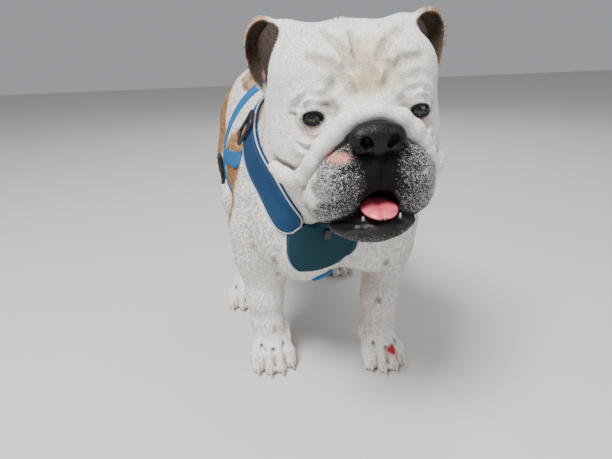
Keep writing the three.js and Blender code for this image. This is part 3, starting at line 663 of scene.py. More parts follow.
def mix_node(tree, kind, factor, a, b):
    made = tree.nodes.new("ShaderNodeMix")
    made.data_type = "RGBA"
    made.blend_type = kind
    plug(tree, (made.inputs[0], made.inputs[6], made.inputs[7]), (factor, a, b))
    return made.outputs[2]


def math_node(tree, kind, a, b=0.0, clamp=False):
    made = tree.nodes.new("ShaderNodeMath")
    made.operation = kind
    made.use_clamp = clamp
    plug(tree, made.inputs, (a, b))
    return made.outputs[0]


def bump_node(tree, shader, height, strength, distance, below=None):
    made = tree.nodes.new("ShaderNodeBump")
    made.inputs["Strength"].default_value = strength
    made.inputs["Distance"].default_value = distance
    tree.links.new(height, made.inputs["Height"])
    if below:
        tree.links.new(below, made.inputs["Normal"])
    tree.links.new(made.outputs["Normal"], shader.inputs["Normal"])
    return made.outputs["Normal"]


WHITE_HAIR = (0.42, 0.415, 0.40)


def coat_material():
    """Short fur over the marks: white hairs are scattered where the marks ask for speckle."""
    made, tree, shader = new_material("coat", (0.8, 0.78, 0.74), 0.78, Specular_IOR_Level=0.2)
    marks = attribute_node(tree, "coat")
    fine = noise_node(tree, 850, (1, 0.6, 0.8), 2.0)
    strands = noise_node(tree, 420, (1, 0.28, 0.6), 3.0)
    shade = ramp_node(tree, strands, [(0.25, (0.87, 0.86, 0.85)), (0.7, (1.0, 1.0, 1.0))])
    base = mix_node(tree, "MULTIPLY", 1.0, marks["Color"], shade)
    wanted = marks["Alpha"]
    over = math_node(tree, "SUBTRACT", math_node(tree, "MULTIPLY", wanted, 0.3), 0.645)
    white_hair = math_node(tree, "MULTIPLY", math_node(tree, "ADD", fine, over), 9.0, clamp=True)
    shown = math_node(tree, "MULTIPLY", white_hair, math_node(tree, "GREATER_THAN", wanted, 0.04))
    base = mix_node(tree, "MIX", shown, base, (*WHITE_HAIR, 1))
    paint(tree, shader, base)
    soft = bump_node(tree, shader, strands, 0.3, 0.0009)
    bump_node(tree, shader, fine, 0.2, 0.0004, soft)
    return made


def bare_material():
    """Lips, lids and the inside of the mouth: moist dark skin."""
    made, tree, shader = new_material("bare_skin", (0.02, 0.018, 0.018), 0.42, Specular_IOR_Level=0.22)
    paint(tree, shader, attribute_node(tree, "coat")["Color"])
    bump_node(tree, shader, noise_node(tree, 330, (1, 1, 0.5)), 0.6, 0.0012)
    return made


COAT = coat_material()
BARE = bare_material()


# Markings and some painted shade, as colours worked out from where a point lies
def smooth(value, low, high):
    t = np.clip((value - low) / (high - low), 0, 1)
    return t * t * (3 - 2 * t)


def ripple(p, pitch, seed):
    """Smooth made-up unevenness between about -1 and 1."""
    draw = np.random.default_rng(seed)
    waves = draw.normal(size=(10, 3))
    waves *= (draw.uniform(0.6, 1.6, 10) / np.linalg.norm(waves, axis=1))[:, None]
    turns = draw.uniform(0, 2 * math.pi, 10)
    return np.sin(p @ waves.T * (2 * math.pi / pitch) + turns).mean(axis=1) * 2.2


def near(p, at, size):
    """1 at a place and falling to 0 at one size away from it."""
    return 1 - smooth(np.linalg.norm((p - np.array(at)) / np.array(size), axis=1), 0.35, 1.0)


WHITE = np.array([0.86, 0.845, 0.81])
CREAM = np.array([0.60, 0.42, 0.18])
RUST = np.array([0.22, 0.10, 0.025])
# A brown used for real dirt spots on the legs and also for painted shade above the nose rope and in
# the forehead's creases
DIRT_AND_SHADE = np.array([0.36, 0.27, 0.17])
TAN = np.array([0.42, 0.23, 0.095])
BRINDLE = np.array([0.12, 0.07, 0.035])
CHARCOAL = np.array([0.004, 0.004, 0.005])
SMOKE = np.array([0.028, 0.028, 0.031])
PINK = np.array([0.60, 0.26, 0.21])
BLUSH = np.array([0.66, 0.45, 0.40])
SORE = np.array([0.50, 0.03, 0.05])
EAR_DARK = np.array([0.055, 0.038, 0.03])
EAR_DEEP = np.array([0.22, 0.11, 0.10])
GUM = np.array([0.03, 0.006, 0.008])


# Each patch of tan: its middle, its half sizes and how full it is. They are the near flank and
# shoulder, parted by a white band, the rump and the far side.
TAN_PATCHES = [
    ((-128, 96, 262), (70, 92, 120), 1.0),
    ((-92, 40, 352), (50, 60, 52), 0.95),
    ((-70, 226, 410), (36, 60, 44), 0.8),
    ((-110, 330, 330), (66, 70, 100), 1.0),
    ((70, 232, 412), (60, 66, 46), 0.85),
]
LEG_SPOTS = [(-88, 8, 60), (-94, -54, 192), (-81, -6, 150), (55, -66, 175), (58, -33, 103)]


def tint(colour, amount, target):
    """Moves colours towards a target, by an amount for each of them."""
    colour += (target - colour) * np.clip(amount, 0, 1)[:, None]


def mark_trunk(colour, p, small, off_head):
    """Skin seen through thin hair under the belly, inside the legs and on the throat, and tan."""
    under = smooth(p[:, 2], 190, 130) * smooth(np.abs(p[:, 0]), 90, 50) * smooth(p[:, 1], -60, 0)
    tint(colour, 0.5 * under * off_head, BLUSH)
    ragged = 0.13 * ripple(p, 60, 3) + 0.07 * small
    streaks = smooth(ripple(p * np.array([1, 0.4, 1]), 15, 9), 0.2, 0.8)
    for at, size, amount in TAN_PATCHES:
        patch = smooth(near(p, at, size) + ragged, 0.16, 0.34)
        tint(colour, amount * patch * off_head, TAN)
        tint(colour, 0.5 * patch * streaks * off_head, BRINDLE)


def mark_ears(colour, q, small, is_head):
    """Tan backs and rims, dark inside."""
    on_ear = smooth(np.abs(q[:, 0]), 76, 90) * smooth(q[:, 2], 20, 44) * smooth(q[:, 1], 0, 14)
    tint(colour, on_ear * is_head * (0.8 + 0.2 * small), TAN * 0.85)
    for side in EAR_AT:
        e = q * (side, 1, 1)
        at = np.array(EAR_AT[side])
        hollow = 1 - smooth(ear_hollow(side).distance(e), 0.6, 3.0)
        hollow *= is_head * smooth(e[:, 0], 62, 70)
        tint(colour, hollow, EAR_DARK)
        tint(colour, hollow * near(e, at + (-4, -8, -16), (17, 20, 24)), EAR_DEEP)
        tint(colour, 0.9 * hollow * near(e, at + (-1, -16, -36), (16, 16, 15)), WHITE * 0.8)
        tint(colour, 0.8 * hollow * near(e, at + (2, -16, -20), (8, 10, 10)), BLUSH * 0.8)


def mark_forehead(colour, p, small, is_head, rope_gap):
    """Stains over the nose rope and on the cheeks, a band of stain and painted shade just above the
    rope, and painted shade in the forehead's creases.
    """
    q = dog_to_head(p)
    above_rope = is_head * smooth(rope_gap, -2, 2)
    mottled = (0.8 + 0.4 * small) * above_rope
    tint(colour, 0.75 * near(q, (2, -88, 38), (46, 34, 20)) * mottled, CREAM)
    mottled = (0.9 + 0.4 * small) * above_rope
    tint(colour, 1.1 * near(q, (10, -92, 29), (34, 18, 9)) * mottled, RUST)
    tint(colour, 0.4 * near(q, (4, -70, 66), (40, 44, 44)) * is_head, CREAM)
    # Painted shade, partly stain: a darker band hugging the top of the nose rope
    stain_and_shade_over_rope = smooth(q[:, 2] - 16 + 0.0128 * q[:, 0] ** 2, 0, 5) * smooth(rope_gap, -0.5, 1)
    stain_and_shade_over_rope *= 1 - smooth(rope_gap, 1.5, 8)
    tint(colour, 0.6 * stain_and_shade_over_rope * is_head, DIRT_AND_SHADE)
    # Painted shade: darker colour in the forehead's creases
    painted_crease_shade = 1 - smooth(np.min([shape.distance(p) for shape in FOREHEAD_SHAPES], axis=0), 0.5, 3.5)
    tint(colour, 0.5 * painted_crease_shade * is_head, DIRT_AND_SHADE)
    tint(colour, 0.35 * near(folded(q), (66, -60, -56), (22, 40, 9)) * is_head, CREAM)


def mark_eyes(colour, q, small, is_head, rope_gap):
    """Dark rims and inner corners, and pink skin below. Returns how near a rim each point is."""
    m = folded(q)
    eye = np.array(EYE)
    above_rope = is_head * smooth(rope_gap, -2, 2)
    tint(colour, 0.75 * near(m, eye + (2, -12, -12), (19, 20, 13)) * is_head, BLUSH)
    mottled = (0.85 + 0.5 * small) * above_rope
    tint(colour, 1.1 * near(q, (-38, -84, 19), (17, 20, 14)) * mottled, BRINDLE)
    tint(colour, near(q, (38, -84, 16), (12, 20, 11)) * above_rope, BRINDLE)
    rim = near(m, eye + (0.5, -12, 0), (16.5, 16, 11.5))
    tint(colour, 1.6 * rim * is_head, CHARCOAL)
    tint(colour, 0.8 * near(m, eye + (19, 1, 4), (9, 16, 3.5)) * is_head, BRINDLE)
    return rim


def mark_muzzle(colour, p, is_head, rope_gap):
    """Black in the middle, speckled grey over the flews, pink by the nose, and painted shade on the
    pink skin in the hollow under the rope. Returns the speckle.
    """
    q = dog_to_head(p)
    x, y, z = q.T
    edge = 4 * ripple(p, 30, 6)
    flews = smooth(GREY_MUZZLE.distance(q) + edge, 3, -6) * smooth(rope_gap, 1, 5) * is_head
    sides = smooth(np.abs(x - 2) + edge, 30, 54)
    tint(colour, flews, SMOKE)
    middle = smooth(np.abs(x - 2) + edge, 40 + 0.2 * z, 12)
    tint(colour, 1.1 * middle * flews, CHARCOAL)
    speckle = flews * (1 - middle) * (0.40 + 0.36 * sides)
    chin = smooth(JAW_SHAPE.distance(p), 6, 1) * smooth(z, -84, -90) * smooth(y, -66, -88)
    tint(colour, 0.97 * chin, SMOKE)
    speckle = np.maximum(speckle * (1 - chin), 0.22 * chin * smooth(z, -98, -108))
    tint(colour, 1.2 * near(q, (-30, -104, -116), (20, 20, 5)), PINK)
    beside_nose = near(q, (-36, -104, -26), (15, 22, 7.5))
    tint(colour, 1.3 * beside_nose, PINK)
    # Painted shade: pink darkened in the hollow beside the nose rope, most on its underside
    rope_shade_band = (1 - smooth(rope_gap, 2.5, 5)) * smooth(rope_gap, -1, 0.6)
    hollow = near(folded(q), (0, -100, 2), (42, 24, 16)) * rope_shade_band
    tint(colour, 0.85 * hollow * smooth(z, 16, 9), PINK * 0.45)
    return speckle * (1 - beside_nose)


def mark_mouth(colour, q, is_head):
    """Dark lips and gums. Returns where the lips are."""
    lip_side = folded(q, MOUTH_SIDE)
    mouth_gap = MOUTH.distance(lip_side)
    lips = 1 - smooth(np.minimum(mouth_gap, MOUTH_LINE.distance(lip_side)), 0.4, 2.6)
    lips *= is_head * smooth(q[:, 1], -40, -60)
    tint(colour, 1.3 * lips, CHARCOAL)
    tint(colour, (1 - smooth(mouth_gap, -0.5, 1.2)) * smooth(q[:, 1], -112, -100) * is_head, GUM)
    return lips


def mark_feet(colour, p):
    """Pink between the toes, painted shade at the top of each gap between them, dark specks, and one
    sore on the front left foot.
    """
    for foot in FEET.values():
        for n in (-1, 0, 1):
            x = foot["x"] + n * TOE_PITCH
            y = foot["y"] - foot["reach"] + 6
            tint(colour, 0.7 * near(p, (x, y, 16), (3.0, 20, 17)), PINK)
            # Painted shade at the top of each gap between the toes
            tint(colour, 0.7 * near(p, (x, y + 12, 37), (3.0, 8, 5)), SMOKE * 2)
    sore_foot = FEET["front_left"]
    sore_at = (sore_foot["x"] + 8, sore_foot["y"] - 28, 27)
    tint(colour, 1.5 * near(p, sore_at, (8, 14, 13)), SORE)
    for at in LEG_SPOTS:
        tint(colour, 0.7 * near(p, at, (7, 12, 8)), DIRT_AND_SHADE * 0.6)


def marks_and_shade(p):
    """Colour, with some painted shade in it, speckle and bareness of the coat at points in the dog's
    frame.
    """
    q = dog_to_head(p)
    small = ripple(p, 14, 4)
    is_head = smooth(q[:, 1], 70, 40) * smooth(q[:, 2], -150, -120)
    rope_gap = NOSE_ROPE.distance(q)
    colour = np.tile(WHITE, (len(p), 1)) * (1 + 0.02 * ripple(p, 60, 3) + 0.02 * small)[:, None]
    mark_trunk(colour, p, small, 1 - is_head)
    mark_ears(colour, q, small, is_head)
    mark_forehead(colour, p, small, is_head, rope_gap)
    rim = mark_eyes(colour, q, small, is_head, rope_gap)
    speckle = mark_muzzle(colour, p, is_head, rope_gap)
    lips = mark_mouth(colour, q, is_head)
    mark_feet(colour, p)
    bare = np.maximum(smooth(rim, 0.35, 0.7) * is_head, smooth(lips, 0.3, 0.7))
    return np.clip(colour, 0.004, 1), np.clip(speckle * (1 - lips), 0, 1), bare


def write_marks(mesh, colour, speckle):
    layer = mesh.color_attributes.new("coat", "FLOAT_COLOR", "POINT")
    layer.data.foreach_set("color", np.column_stack([colour, speckle]).astype(np.float32).ravel())


# Skin: one surface for all the flesh
FLESH_NODES = ["torso", "neck", "tail", "head", "lower_jaw", "ear_left", "ear_right"]
FLESH_NODES += [f"{name}_{part}" for name in FEET for part in ("leg", "paw")]
SKIN_BOX = ((-172, -250, -14), (172, 480, 500))
FACE_LOW = np.array([-86, -140, -112])
FACE_HIGH = np.array([86, -50, 44])


def in_face(points):
    q = dog_to_head(points)
    return np.all((q > FACE_LOW) & (q < FACE_HIGH), axis=1)


def dog_points(mesh):
    """A mesh's vertices in millimetres in the dog's frame."""
    return read(mesh.vertices, "co", 3, float).reshape(-1, 3) / MM - SHIFT


def make_skin():
    points, quads = meshed(ANIMAL, *SKIN_BOX, SKIN_CELL, COAT_DEPTH)
    points[:, 2] = np.maximum(points[:, 2], 0.0)
    skin = new_object("skin", to_model(points), quads, COAT)
    skin.data.materials.append(BARE)
    work = bmesh.new()
    work.from_mesh(skin.data)
    fine = in_face(points)
    work.verts.ensure_lookup_table()
    edges = [e for e in work.edges if fine[e.verts[0].index] and fine[e.verts[1].index]]
    bmesh.ops.subdivide_edges(work, edges=edges, cuts=1, use_grid_fill=True)
    bmesh.ops.triangulate(work, faces=[f for f in work.faces if len(f.verts) > 4])
    work.to_mesh(skin.data)
    work.free()
    p = dog_points(skin.data)
    moved = in_face(p)
    p[moved] = dropped(ANIMAL, p[moved], -COAT_DEPTH, rounds=2, most=0.7)
    skin.data.vertices.foreach_set("co", to_model(p).ravel())
    colour, speckle, bare = marks_and_shade(p)
    write_marks(skin.data, colour, speckle)
    corner = read(skin.data.loops, "vertex_index")
    start = read(skin.data.polygons, "loop_start")
    skin.data.polygons.foreach_set("material_index", (bare[corner[start]] > 0.5).astype(int))
    shade_smooth(skin.data)
    skin.data.update()
    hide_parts(*FLESH_NODES)
    return skin


skin = make_skin()


# Eyes, nose leather, tongue, teeth and claws
def eye_material():
    gloss = {"Coat_Weight": 0.7, "Coat_Roughness": 0.03}
    made, tree, shader = new_material("eye", (0.02, 0.012, 0.01), 0.08, **gloss)
    ring = attribute_node(tree, "gaze")["Fac"]
    stops = [
        (0.0, (0.002, 0.002, 0.002)),
        (0.24, (0.002, 0.002, 0.002)),
        (0.3, (0.045, 0.02, 0.009)),
        (0.66, (0.03, 0.013, 0.007)),
        (0.72, (0.004, 0.003, 0.003)),
        (0.82, (0.10, 0.06, 0.05)),
        (1.0, (0.12, 0.05, 0.045)),
    ]
    paint(tree, shader, ramp_node(tree, ring, stops))
    return made


EYE_SURFACE = eye_material()
GAZE = {-1: (-0.12, -1, -0.06), 1: (0.16, -1, -0.06)}


CORNEA_RISE = 0.9
CORNEA_WIDTH = 0.42


def make_eye(name, side):
    work = bmesh.new()
    bmesh.ops.create_uvsphere(work, u_segments=48, v_segments=32, radius=1)
    gaze = unit(np.array(GAZE[side]))
    aim = Vector((0, 0, 1)).rotation_difference(Vector(gaze)).to_matrix()
    p, faces = taken(work)
    p = p @ np.array(aim).T
    angle = np.arccos(np.clip(p @ gaze, -1, 1)) / (math.pi / 2)
    p *= (EYE_RADIUS + CORNEA_RISE * np.exp(-((angle / CORNEA_WIDTH) ** 4)))[:, None]
    at = np.array([side * EYE[0], EYE[1], EYE[2]])
    eye = new_object(name + "_ball", to_model(head_to_dog(p + at)), faces, EYE_SURFACE)
    layer = eye.data.attributes.new("gaze", "FLOAT", "POINT")
    layer.data.foreach_set("value", angle.astype(np.float32))
    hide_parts(name)


make_eye("eye_left", 1)
make_eye("eye_right", -1)


def nose_material():
    black = (0.006, 0.006, 0.007)
    made, tree, shader = new_material("nose_leather", black, 0.45, Specular_IOR_Level=0.25)
    pebbles = tree.nodes.new("ShaderNodeTexVoronoi")
    pebbles.inputs["Scale"].default_value = 620
    source = tree.nodes.new("ShaderNodeTexCoord")
    tree.links.new(source.outputs["Object"], pebbles.inputs["Vector"])
    stops = [(0.0, (0.014, 0.014, 0.016)), (0.6, (0.003, 0.003, 0.0035))]
    paint(tree, shader, ramp_node(tree, pebbles.outputs["Distance"], stops))
    height = math_node(tree, "MULTIPLY", pebbles.outputs["Distance"], -1.0)
    bump_node(tree, shader, height, 0.5, 0.0008)
    return made


def tongue_material():
    wet = {"Coat_Weight": 0.4, "Subsurface_Weight": 0.15}
    made, tree, shader = new_material("tongue", (0.8, 0.2, 0.27), 0.3, **wet)
    blotch = noise_node(tree, 160)
    stops = [(0.3, (0.62, 0.06, 0.11)), (0.7, (0.85, 0.16, 0.22))]
    paint(tree, shader, ramp_node(tree, blotch, stops))
    bump_node(tree, shader, noise_node(tree, 1200), 0.5, 0.0006)
    return made


def grown_piece(name, steps, box, cell, material):
    points, quads = meshed(steps, *box, cell, 0.1)
    return new_object(name, to_model(points), quads, material)


nose_steps = [(in_head(mirrored(group(NOSE))), 1, 1)]
NOSE_BOX = ((-60, -250, 325), (35, -190, 400))
nose = grown_piece("nose_pad", nose_steps, NOSE_BOX, 0.9, nose_material())
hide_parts("nose")

TONGUE = [
    (ellipsoid([3, -104, -79], [18.5, 22, 4.6], [14, 0, 0]), 1, 1),
    (rope([(3, -126, -83.5, 2.6), (3, -112, -74.5, 3.2), (3, -90, -69.5, 3)]), 4, -1),
]
tongue_steps = [(in_head(group(TONGUE)), 1, 1)]
TONGUE_BOX = ((-45, -245, 280), (25, -175, 325))
tongue = grown_piece("tongue_tip", tongue_steps, TONGUE_BOX, 1.2, tongue_material())
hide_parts("tongue")

horn, horn_tree, horn_shader = new_material("horn", (0.66, 0.54, 0.44), 0.42)
horn_noise = noise_node(horn_tree, 260, (1, 1, 0.3))
horn_stops = [(0.3, (0.52, 0.38, 0.28)), (0.75, (0.78, 0.68, 0.57))]
paint(horn_tree, horn_shader, ramp_node(horn_tree, horn_noise, horn_stops))
enamel = new_material("enamel", (0.42, 0.38, 0.3), 0.25, Coat_Weight=0.5)[0]


def joined(name, pieces, material, slot):
    """One object from a list of (points in mm in the dog's frame, faces)."""
    points = []
    faces = []
    count = 0
    for part_points, part_faces in pieces:
        points.append(np.asarray(part_points, float))
        faces += [[count + v for v in face] for face in part_faces]
        count += len(part_points)
    return new_object(name, to_model(np.concatenate(points)), faces, material)


def tube(path, radii, sides=8):
    """A round tube along a path with closed ends."""
    path = np.asarray(path, float)
    radii = np.broadcast_to(radii, len(path))
    along = unit(np.gradient(path, axis=0))
    across = np.cross(along[0], (0.13, 0.2, 1.0))
    rings = []
    for at, direction, radius in zip(path, along, radii):
        across = unit(across - direction * (across @ direction))
        other = np.cross(direction, across)
        angles = np.arange(sides) * 2 * math.pi / sides
        circle = np.outer(np.cos(angles), across) + np.outer(np.sin(angles), other)
        rings.append(at + radius * circle)
    points = np.concatenate(rings + [path[:1], path[-1:]])
    last = (len(path) - 1) * sides
    first_cap = last + sides
    faces = []
    for n in range(sides):
        after = (n + 1) % sides
        for start in range(0, last, sides):
            a, b = start + n, start + after
            faces.append([a, b, b + sides, a + sides])
        faces.append([first_cap, after, n])
        faces.append([first_cap + 1, last + n, last + after])
    return points, faces


def claw_tube(x, y, z, lean, length):
    """A claw that curves down from 26 to 56 degrees and tapers to a blunt tip."""
    steps = np.linspace(0, 1, 8)
    path = [np.array([x, y, z])]
    for fall in np.radians(26 + 30 * steps[:-1]):
        path.append(path[-1] + length / 7 * np.array([lean * 0.12, -math.cos(fall), -math.sin(fall)]))
    return tube(path, 2.9 * (1 - steps**2 * 0.62) * (1 - 0.55 * steps**8), 10)


def claws():
    made = []
    for foot in FEET.values():
        for n in TOES:
            x, y = toe_place(foot, n)
            made.append(claw_tube(x, y - 4, 16, n, 17 + rng.uniform(-1.5, 1.5)))
        if foot["front"]:
            x = foot["x"] - foot["side"] * 27.5
            made.append(claw_tube(x, foot["y"] + 1, 41, -foot["side"], 13))
    return made


joined("claws", claws(), horn, "horn")


# Points of a tooth from its root: how far out, back and up, and its radius there
SMALL_TOOTH = [(0, 0, 0, 2.2), (0, -0.4, 3, 2.1), (0, -0.8, 4.6, 1.0)]
LONG_TOOTH = [(0, 0, 0, 2.2), (0.5, -0.8, 4, 1.8), (1, -1.4, 6.6, 0.6)]
TOOTH_PITCH = 4.6
GUM_HEIGHT = -92


def tooth(shape, x, y, side=1):
    rows = np.array(shape) * (side, 1, 1, 1)
    return tube(head_to_dog(rows[:, :3] + (x + MOUTH_SIDE, y, GUM_HEIGHT)), rows[:, 3])


def teeth():
    """Six small teeth in a curve, with a longer one at each side."""
    places = [(n - 2.5) * TOOTH_PITCH for n in range(6)]
    made = [tooth(SMALL_TOOTH, x, -109 + 0.12 * x * x) for x in places]
    return made + [tooth(LONG_TOOTH, side * 18, -105, side) for side in (-1, 1)]


joined("lower_teeth", teeth(), enamel, "horn")


# Harness. Each band is a strip laid on the body along the same path as its solid.
GIRTH_Y = 190
STRAP_ROUND = 0.08  # the share of a strap that its rounded end takes up
STRAP_RIGHT = [
    (-68, -76, 236),
    (-88, -56, 270),
    (-104, -20, 312),
    (-104, 20, 348),
    (-84, 62, 380),
    (-50, 92, 394),
]
STRAP_LEFT = [
    (20, -80, 236),
    (46, -76, 266),
    (78, -62, 296),
    (98, -24, 328),
    (92, 34, 362),
    (56, 92, 392),
]
BIB_PATH = [(-31, -84, 256), (-34, -82, 230), (-37, -74, 204), (-38, -62, 179)]
KEEL_PATH = [(-33, -48, 168), (-20, 0, 140), (-12, 60, 134), (-6, GIRTH_Y - 14, 142)]
GIRTH_HALF = [
    (-16, GIRTH_Y, 402),
    (-88, GIRTH_Y, 376),
    (-130, GIRTH_Y, 296),
    (-120, GIRTH_Y, 204),
    (-66, GIRTH_Y, 146),
    (-13, GIRTH_Y, 140),
]
SIDE_PATH = [(-112, 32, 305), (-130, 90, 296), (-132, 140, 290), (-128, GIRTH_Y - 15, 288)]
SADDLE_PATH = [(0, 58, 394), (-2, 100, 398), (-4, 140, 402), (-5, GIRTH_Y - 14, 404)]
ROW_SPACING = 3.0
COLUMN_SPACING = 1.6


def other_side(path):
    return [(-x, y, z) for x, y, z in path]


def far_along(points, power=1.0):
    """How far along a line each of its points lies."""
    steps = np.linalg.norm(np.diff(points, axis=0), axis=1)
    return np.concatenate([[0], np.cumsum(steps**power)])


def even_curve(path, spacing):
    """Evenly spaced points along a centripetal Catmull-Rom curve."""
    p = np.array(path, float)
    p = np.vstack([2 * p[0] - p[1], p, 2 * p[-1] - p[-2]])
    knot = far_along(p, 0.5)
    fine = []
    for n in range(1, len(p) - 2):
        t = np.linspace(knot[n], knot[n + 1], 40)[:, None]

        def between(a, b, i, j):
            return ((knot[j] - t) * a + (t - knot[i]) * b) / (knot[j] - knot[i])

        a1, a2, a3 = (between(p[m], p[m + 1], m, m + 1) for m in (n - 1, n, n + 1))
        b1 = between(a1, a2, n - 1, n + 1)
        b2 = between(a2, a3, n, n + 2)
        fine.append(between(b1, b2, n, n + 1))
    fine = np.concatenate(fine)
    far = far_along(fine)
    count = max(3, int(far[-1] / spacing) + 1)
    at = np.linspace(0, far[-1], count)
    return np.column_stack([np.interp(at, far, fine[:, n]) for n in range(3)])


class Band:
    """A strip on the body: its middle line, its directions and half its width at each row."""

    def __init__(self, path, wide, taper=None):
        self.line = dropped(BODY, even_curve(path, ROW_SPACING), 0)
        self.along = unit(np.gradient(self.line, axis=0))
        self.out = slope(BODY, self.line, 4)
        self.across = unit(np.cross(self.out, self.along))
        self.share = np.linspace(0, 1, len(self.line))
        self.half = wide / 2 * (taper(self.share) if taper else np.ones(len(self.line)))
        self.far = far_along(self.line)

    def row(self, share):
        """The row that lies a share of the way along."""
        return int(share * (len(self.line) - 1))

    def axes(self, row):
        return np.array([self.along[row], self.across[row], self.out[row]])

    def at(self, offset, lift):
        """Points at offsets across each row, held lift off the body."""
        flat = self.line[:, None] + self.across[:, None] * offset[..., None]
        shape = flat.shape
        flat = dropped(BODY, flat.reshape(-1, 3), 0, rounds=4)
        raised = slope(BODY, flat, 3) * np.broadcast_to(lift, shape[:2]).reshape(-1, 1)
        return (flat + raised).reshape(shape)


def sheet(band, crown, edge, sunk, base=0.0):
    """A closed strip: crowned in the middle, thin at its edges and ends."""
    columns = max(7, int(band.half.max() / COLUMN_SPACING) | 1)
    u = np.linspace(-1, 1, columns)[None]
    offset = band.half[:, None] * u
    from_end = np.minimum(band.far, band.far[-1] - band.far)[:, None]
    rise = (1 - np.abs(u) ** 6) * smooth(from_end, -1.0, 7.0)
    top = band.at(offset, base + edge + (crown - edge) * rise)
    bottom = band.at(offset, base - sunk)
    rows = len(band.line)
    points = np.concatenate([top.reshape(-1, 3), bottom.reshape(-1, 3)])
    index = np.arange(rows * columns).reshape(rows, columns)
    a, b, c, d = index[:-1, :-1], index[1:, :-1], index[1:, 1:], index[:-1, 1:]
    upper = np.stack([a, b, c, d], -1).reshape(-1, 4)
    lower = upper[:, ::-1] + rows * columns
    rim = np.concatenate([index[0, :-1], index[:-1, -1], index[-1, :0:-1], index[:0:-1, 0]])
    after = np.roll(rim, -1)
    walls = np.stack([rim, after, after + rows * columns, rim + rows * columns], -1)
    faces = outward(points, np.concatenate([upper, lower, walls]))
    across = np.broadcast_to(offset, (rows, columns)).reshape(-1)
    along = np.broadcast_to(band.far[:, None], (rows, columns)).reshape(-1)
    uv = np.column_stack([np.tile(across, 2), np.tile(along, 2)]) * MM
    return points, faces, uv


def strip_object(name, band, sizes, material, node, base=0.0):
    points, faces, uv = sheet(band, *sizes, base)
    made = new_object(name, to_model(points), faces, material)
    write_uv(made.data, "weave", uv[read(made.data.loops, "vertex_index")])
    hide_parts(node)
    return made


def cloth_material(name, colour, pitch, roughness, deep):
    """Woven cloth: two crossing sets of threads from the strip's own measure."""
    made, tree, shader = new_material(name, colour, roughness, Specular_IOR_Level=0.25)
    source = tree.nodes.new("ShaderNodeUVMap")
    source.uv_map = "weave"
    split = tree.nodes.new("ShaderNodeSeparateXYZ")
    tree.links.new(source.outputs["UV"], split.inputs["Vector"])
    waves = []
    for axis, size in (("X", pitch), ("Y", pitch * 0.8)):
        turn = math_node(tree, "MULTIPLY", split.outputs[axis], 2 * math.pi / size)
        waves.append(math_node(tree, "SINE", turn))
    weave = math_node(tree, "MULTIPLY", waves[0], waves[1])
    fade = math_node(tree, "ADD", math_node(tree, "MULTIPLY", weave, 0.22), 0.85)
    worn = noise_node(tree, 60, detail=4.0)
    dark = mix_node(tree, "MULTIPLY", 1.0, (*colour, 1), fade)
    dust = math_node(tree, "MULTIPLY", worn, 0.03)
    base = mix_node(tree, "MIX", dust, dark, (0.35, 0.42, 0.48, 1))
    paint(tree, shader, base)
    bump_node(tree, shader, weave, 0.5, deep)
    return made


TEAL = cloth_material("teal_pad", (0.002, 0.04, 0.062), 0.0013, 0.8, 0.0004)
NAVY = cloth_material("navy_pad", (0.003, 0.04, 0.12), 0.0013, 0.8, 0.0004)
WEBBING = cloth_material("webbing", (0.004, 0.15, 0.42), 0.0021, 0.6, 0.0006)
TRIM = new_material("trim", (0.4, 0.42, 0.43), 0.7)[0]
THREAD = new_material("thread", (0.03, 0.11, 0.2), 0.7)[0]
PLASTIC = new_material("buckle_plastic", (0.012, 0.012, 0.014), 0.38)[0]
STEEL = new_material("ring_steel", (0.62, 0.62, 0.64), 0.28, Metallic=1.0)[0]


def strap_taper(t):
    rounded = np.sqrt(1 - 0.85 * np.maximum(0, 1 - t / STRAP_ROUND) ** 2)
    return np.minimum(rounded, np.clip(1 - 2 * (t - 0.6), 0.6, 1))


def bib_taper(t):
    return np.sqrt(1 - 0.64 * (np.maximum(0, t - 0.6) / 0.4) ** 2)


BANDS = {
    "harness_bib": Band(BIB_PATH, 100, bib_taper),
    "harness_keel": Band(KEEL_PATH, 28),
    "harness_saddle": Band(SADDLE_PATH, 60),
    "harness_strap_right": Band(STRAP_RIGHT, 40, strap_taper),
    "harness_strap_left": Band(STRAP_LEFT, 40, strap_taper),
    "harness_girth_right": Band(GIRTH_HALF, 25),
    "harness_girth_left": Band(other_side(GIRTH_HALF), 25),
    "harness_side_right": Band(SIDE_PATH, 22),
    "harness_side_left": Band(other_side(SIDE_PATH), 22),
}
# How each kind of band is made: its cloth, its slot, its sizes, how high its underside stands, how
# far in its stitching runs and how far up its crown that lies. The sizes are its crown, its edge
# and how far it presses into the coat.
KINDS = {
    "pad": (TEAL, "harness_pad", (4.3, 1.6, 1.2), 0.0, 5.5, 0.97),
    "strap": (NAVY, "harness_pad", (3.2, 1.4, 3.2), 2.2, 5.5, 0.97),
    "web": (WEBBING, "harness_webbing", (2.6, 2.0, 1.2), 0.0, 2.6, 0.93),
}
PIPING_RADIUS = 1.15
THREAD_RADIUS = 0.42


def edge_line(band, inset, lift):
    """The two lines that run inset from the band's edges."""
    offset = (band.half - inset)[:, None]
    return [band.at(side * offset, lift)[:, 0] for side in (-1, 1)]


def stitches(line, pitch=4.0, length=2.6):
    """Short raised threads along a line."""
    made = []
    far = far_along(line)
    for start in np.arange(4, far[-1] - 4, pitch):
        reach = start + np.array([0, length])
        ends = np.column_stack([np.interp(reach, far, line[:, n]) for n in range(3)])
        made.append(tube(ends, THREAD_RADIUS, 5))
    return made


def kind_of(node):
    if "strap" in node:
        return "strap"
    return "pad" if node in ("harness_bib", "harness_saddle") else "web"


